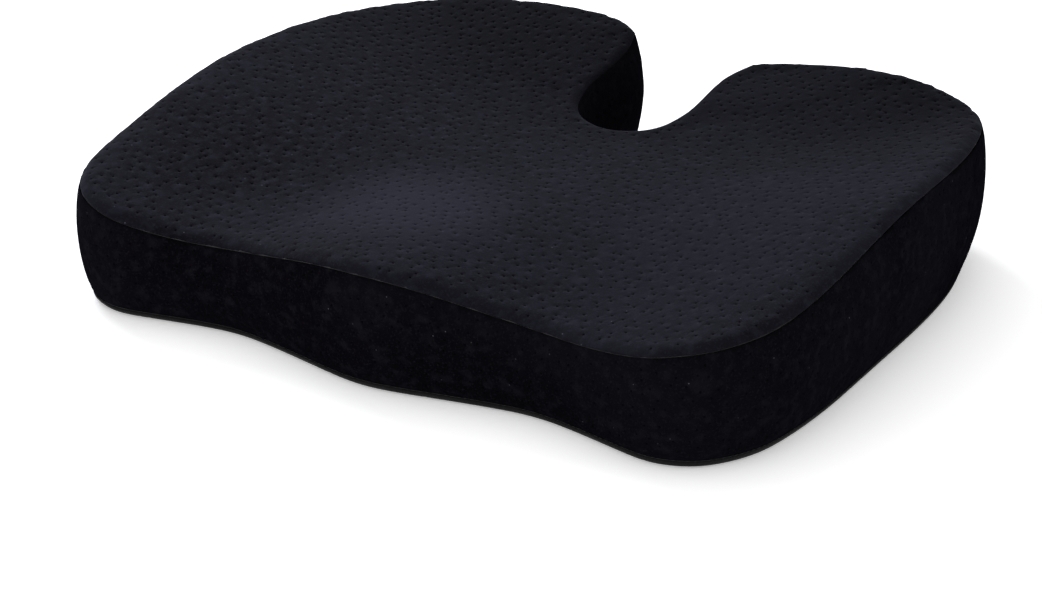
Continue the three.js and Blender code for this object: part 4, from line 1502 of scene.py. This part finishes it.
block_bm = loose_mesh("foam_core")
block_mesh = bpy.data.meshes.new("foam_block")
block_bm.to_mesh(block_mesh)
block_bm.free()
foam_block = add_object("foam_block", block_mesh)
round_edges(foam_block, FOAM_ROUND, 2, 40)
applied(foam_block)
shade_smooth(foam_block.data)
foam_block.data.materials.clear()
foam_block.data.materials.append(foam_cells)
print("foam faces:", len(foam_block.data.polygons))

# %% [markdown]
# ## Joining the looks to the mechanism
#
# No sewn cushion is quite even, so a few places are pushed a little first: the right lobe's inner corner
# sinks and the left one leans into the notch. Then every piece rides on the cushion, and the CAD nodes that
# it replaces are hidden.

# %% Listing the pieces
for sheet in sheets.values():
    bpy.data.objects.remove(sheet)
for panel in (bottom_front, bottom_rear):
    panel.data.materials.append(bottom_knit)

CLOTH_FILL = 0.95
FOAM_FILL = 1.0

# Each piece, its slot, the CAD nodes that it stands for, and its fill where it is padded.
pieces = [
    (top_panel, "velour_top", ["top_panel"], CLOTH_FILL),
    (side_band, "velour_side", ["side_band"], CLOTH_FILL),
    (notch_band, "velour_side", ["notch_band"], CLOTH_FILL),
    (bottom_front, "bottom_fabric", ["bottom_panel_front"], CLOTH_FILL),
    (bottom_rear, "bottom_fabric", ["bottom_panel_rear"], CLOTH_FILL),
    (foam_block, "foam", ["foam_core"], FOAM_FILL),
    *((seams[word], "thread", [word + "_seam_thread"], None) for word in ("top", "bottom")),
    *((fold, "velour_side", [], None) for fold in folds),
    (grip_dots, "bottom_fabric", [], None),
    (lining, "bottom_fabric", [], None),
]
for word in ("front", "rear"):
    pieces.append((hem_stitches[word], "thread", ["zip_seam_thread_" + word], None))
    pieces.append((coils[word], "zip_coil", ["zip_coil_" + word], None))

# Where the cushion is uneven: the place seen from above, how far round it that reaches, how far the cushion
# is moved there, and at which heights.
UNEVEN = (
    ((55 * MM, 168 * MM), 52 * MM, (0, 0, -8 * MM), lambda up: up),
    ((-36 * MM, 142 * MM), 34 * MM, (3.5 * MM, 1 * MM, 0), lambda up: np.sin(math.pi * up)),
    ((-215 * MM, -95 * MM), 60 * MM, (2 * MM, 0, 0), lambda up: 0.4 + 0.6 * up),
    ((-190 * MM, 110 * MM), 60 * MM, (1.5 * MM, -1.5 * MM, 0), lambda up: up),
    ((195 * MM, -100 * MM), 55 * MM, (1.6 * MM, -1.2 * MM, 0), lambda up: 1 - up),
)
FULL_HEIGHT = 85 * MM

for piece, _, _, _ in pieces:
    if piece.name.startswith("zip_"):
        continue  # the zip stays straight, so that its slider runs freely
    even = positions(piece.data)
    up = np.clip(even[:, 2] / FULL_HEIGHT, 0, 1)
    moved = even.copy()
    for place, radius, shift, acts in UNEVEN:
        near = np.exp(-(((even[:, :2] - place) / radius) ** 2).sum(1)) * acts(up)
        moved += near[:, None] * np.array(shift)
    piece.data.vertices.foreach_set("co", moved.ravel())
    piece.data.update()
print("the cushion is uneven in", len(UNEVEN), "places")

# %% Riding and replacing
for piece, slot, nodes, fill in pieces:
    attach(piece, "cushion")
    if nodes:
        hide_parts(*nodes)
print("pieces:", len(pieces))
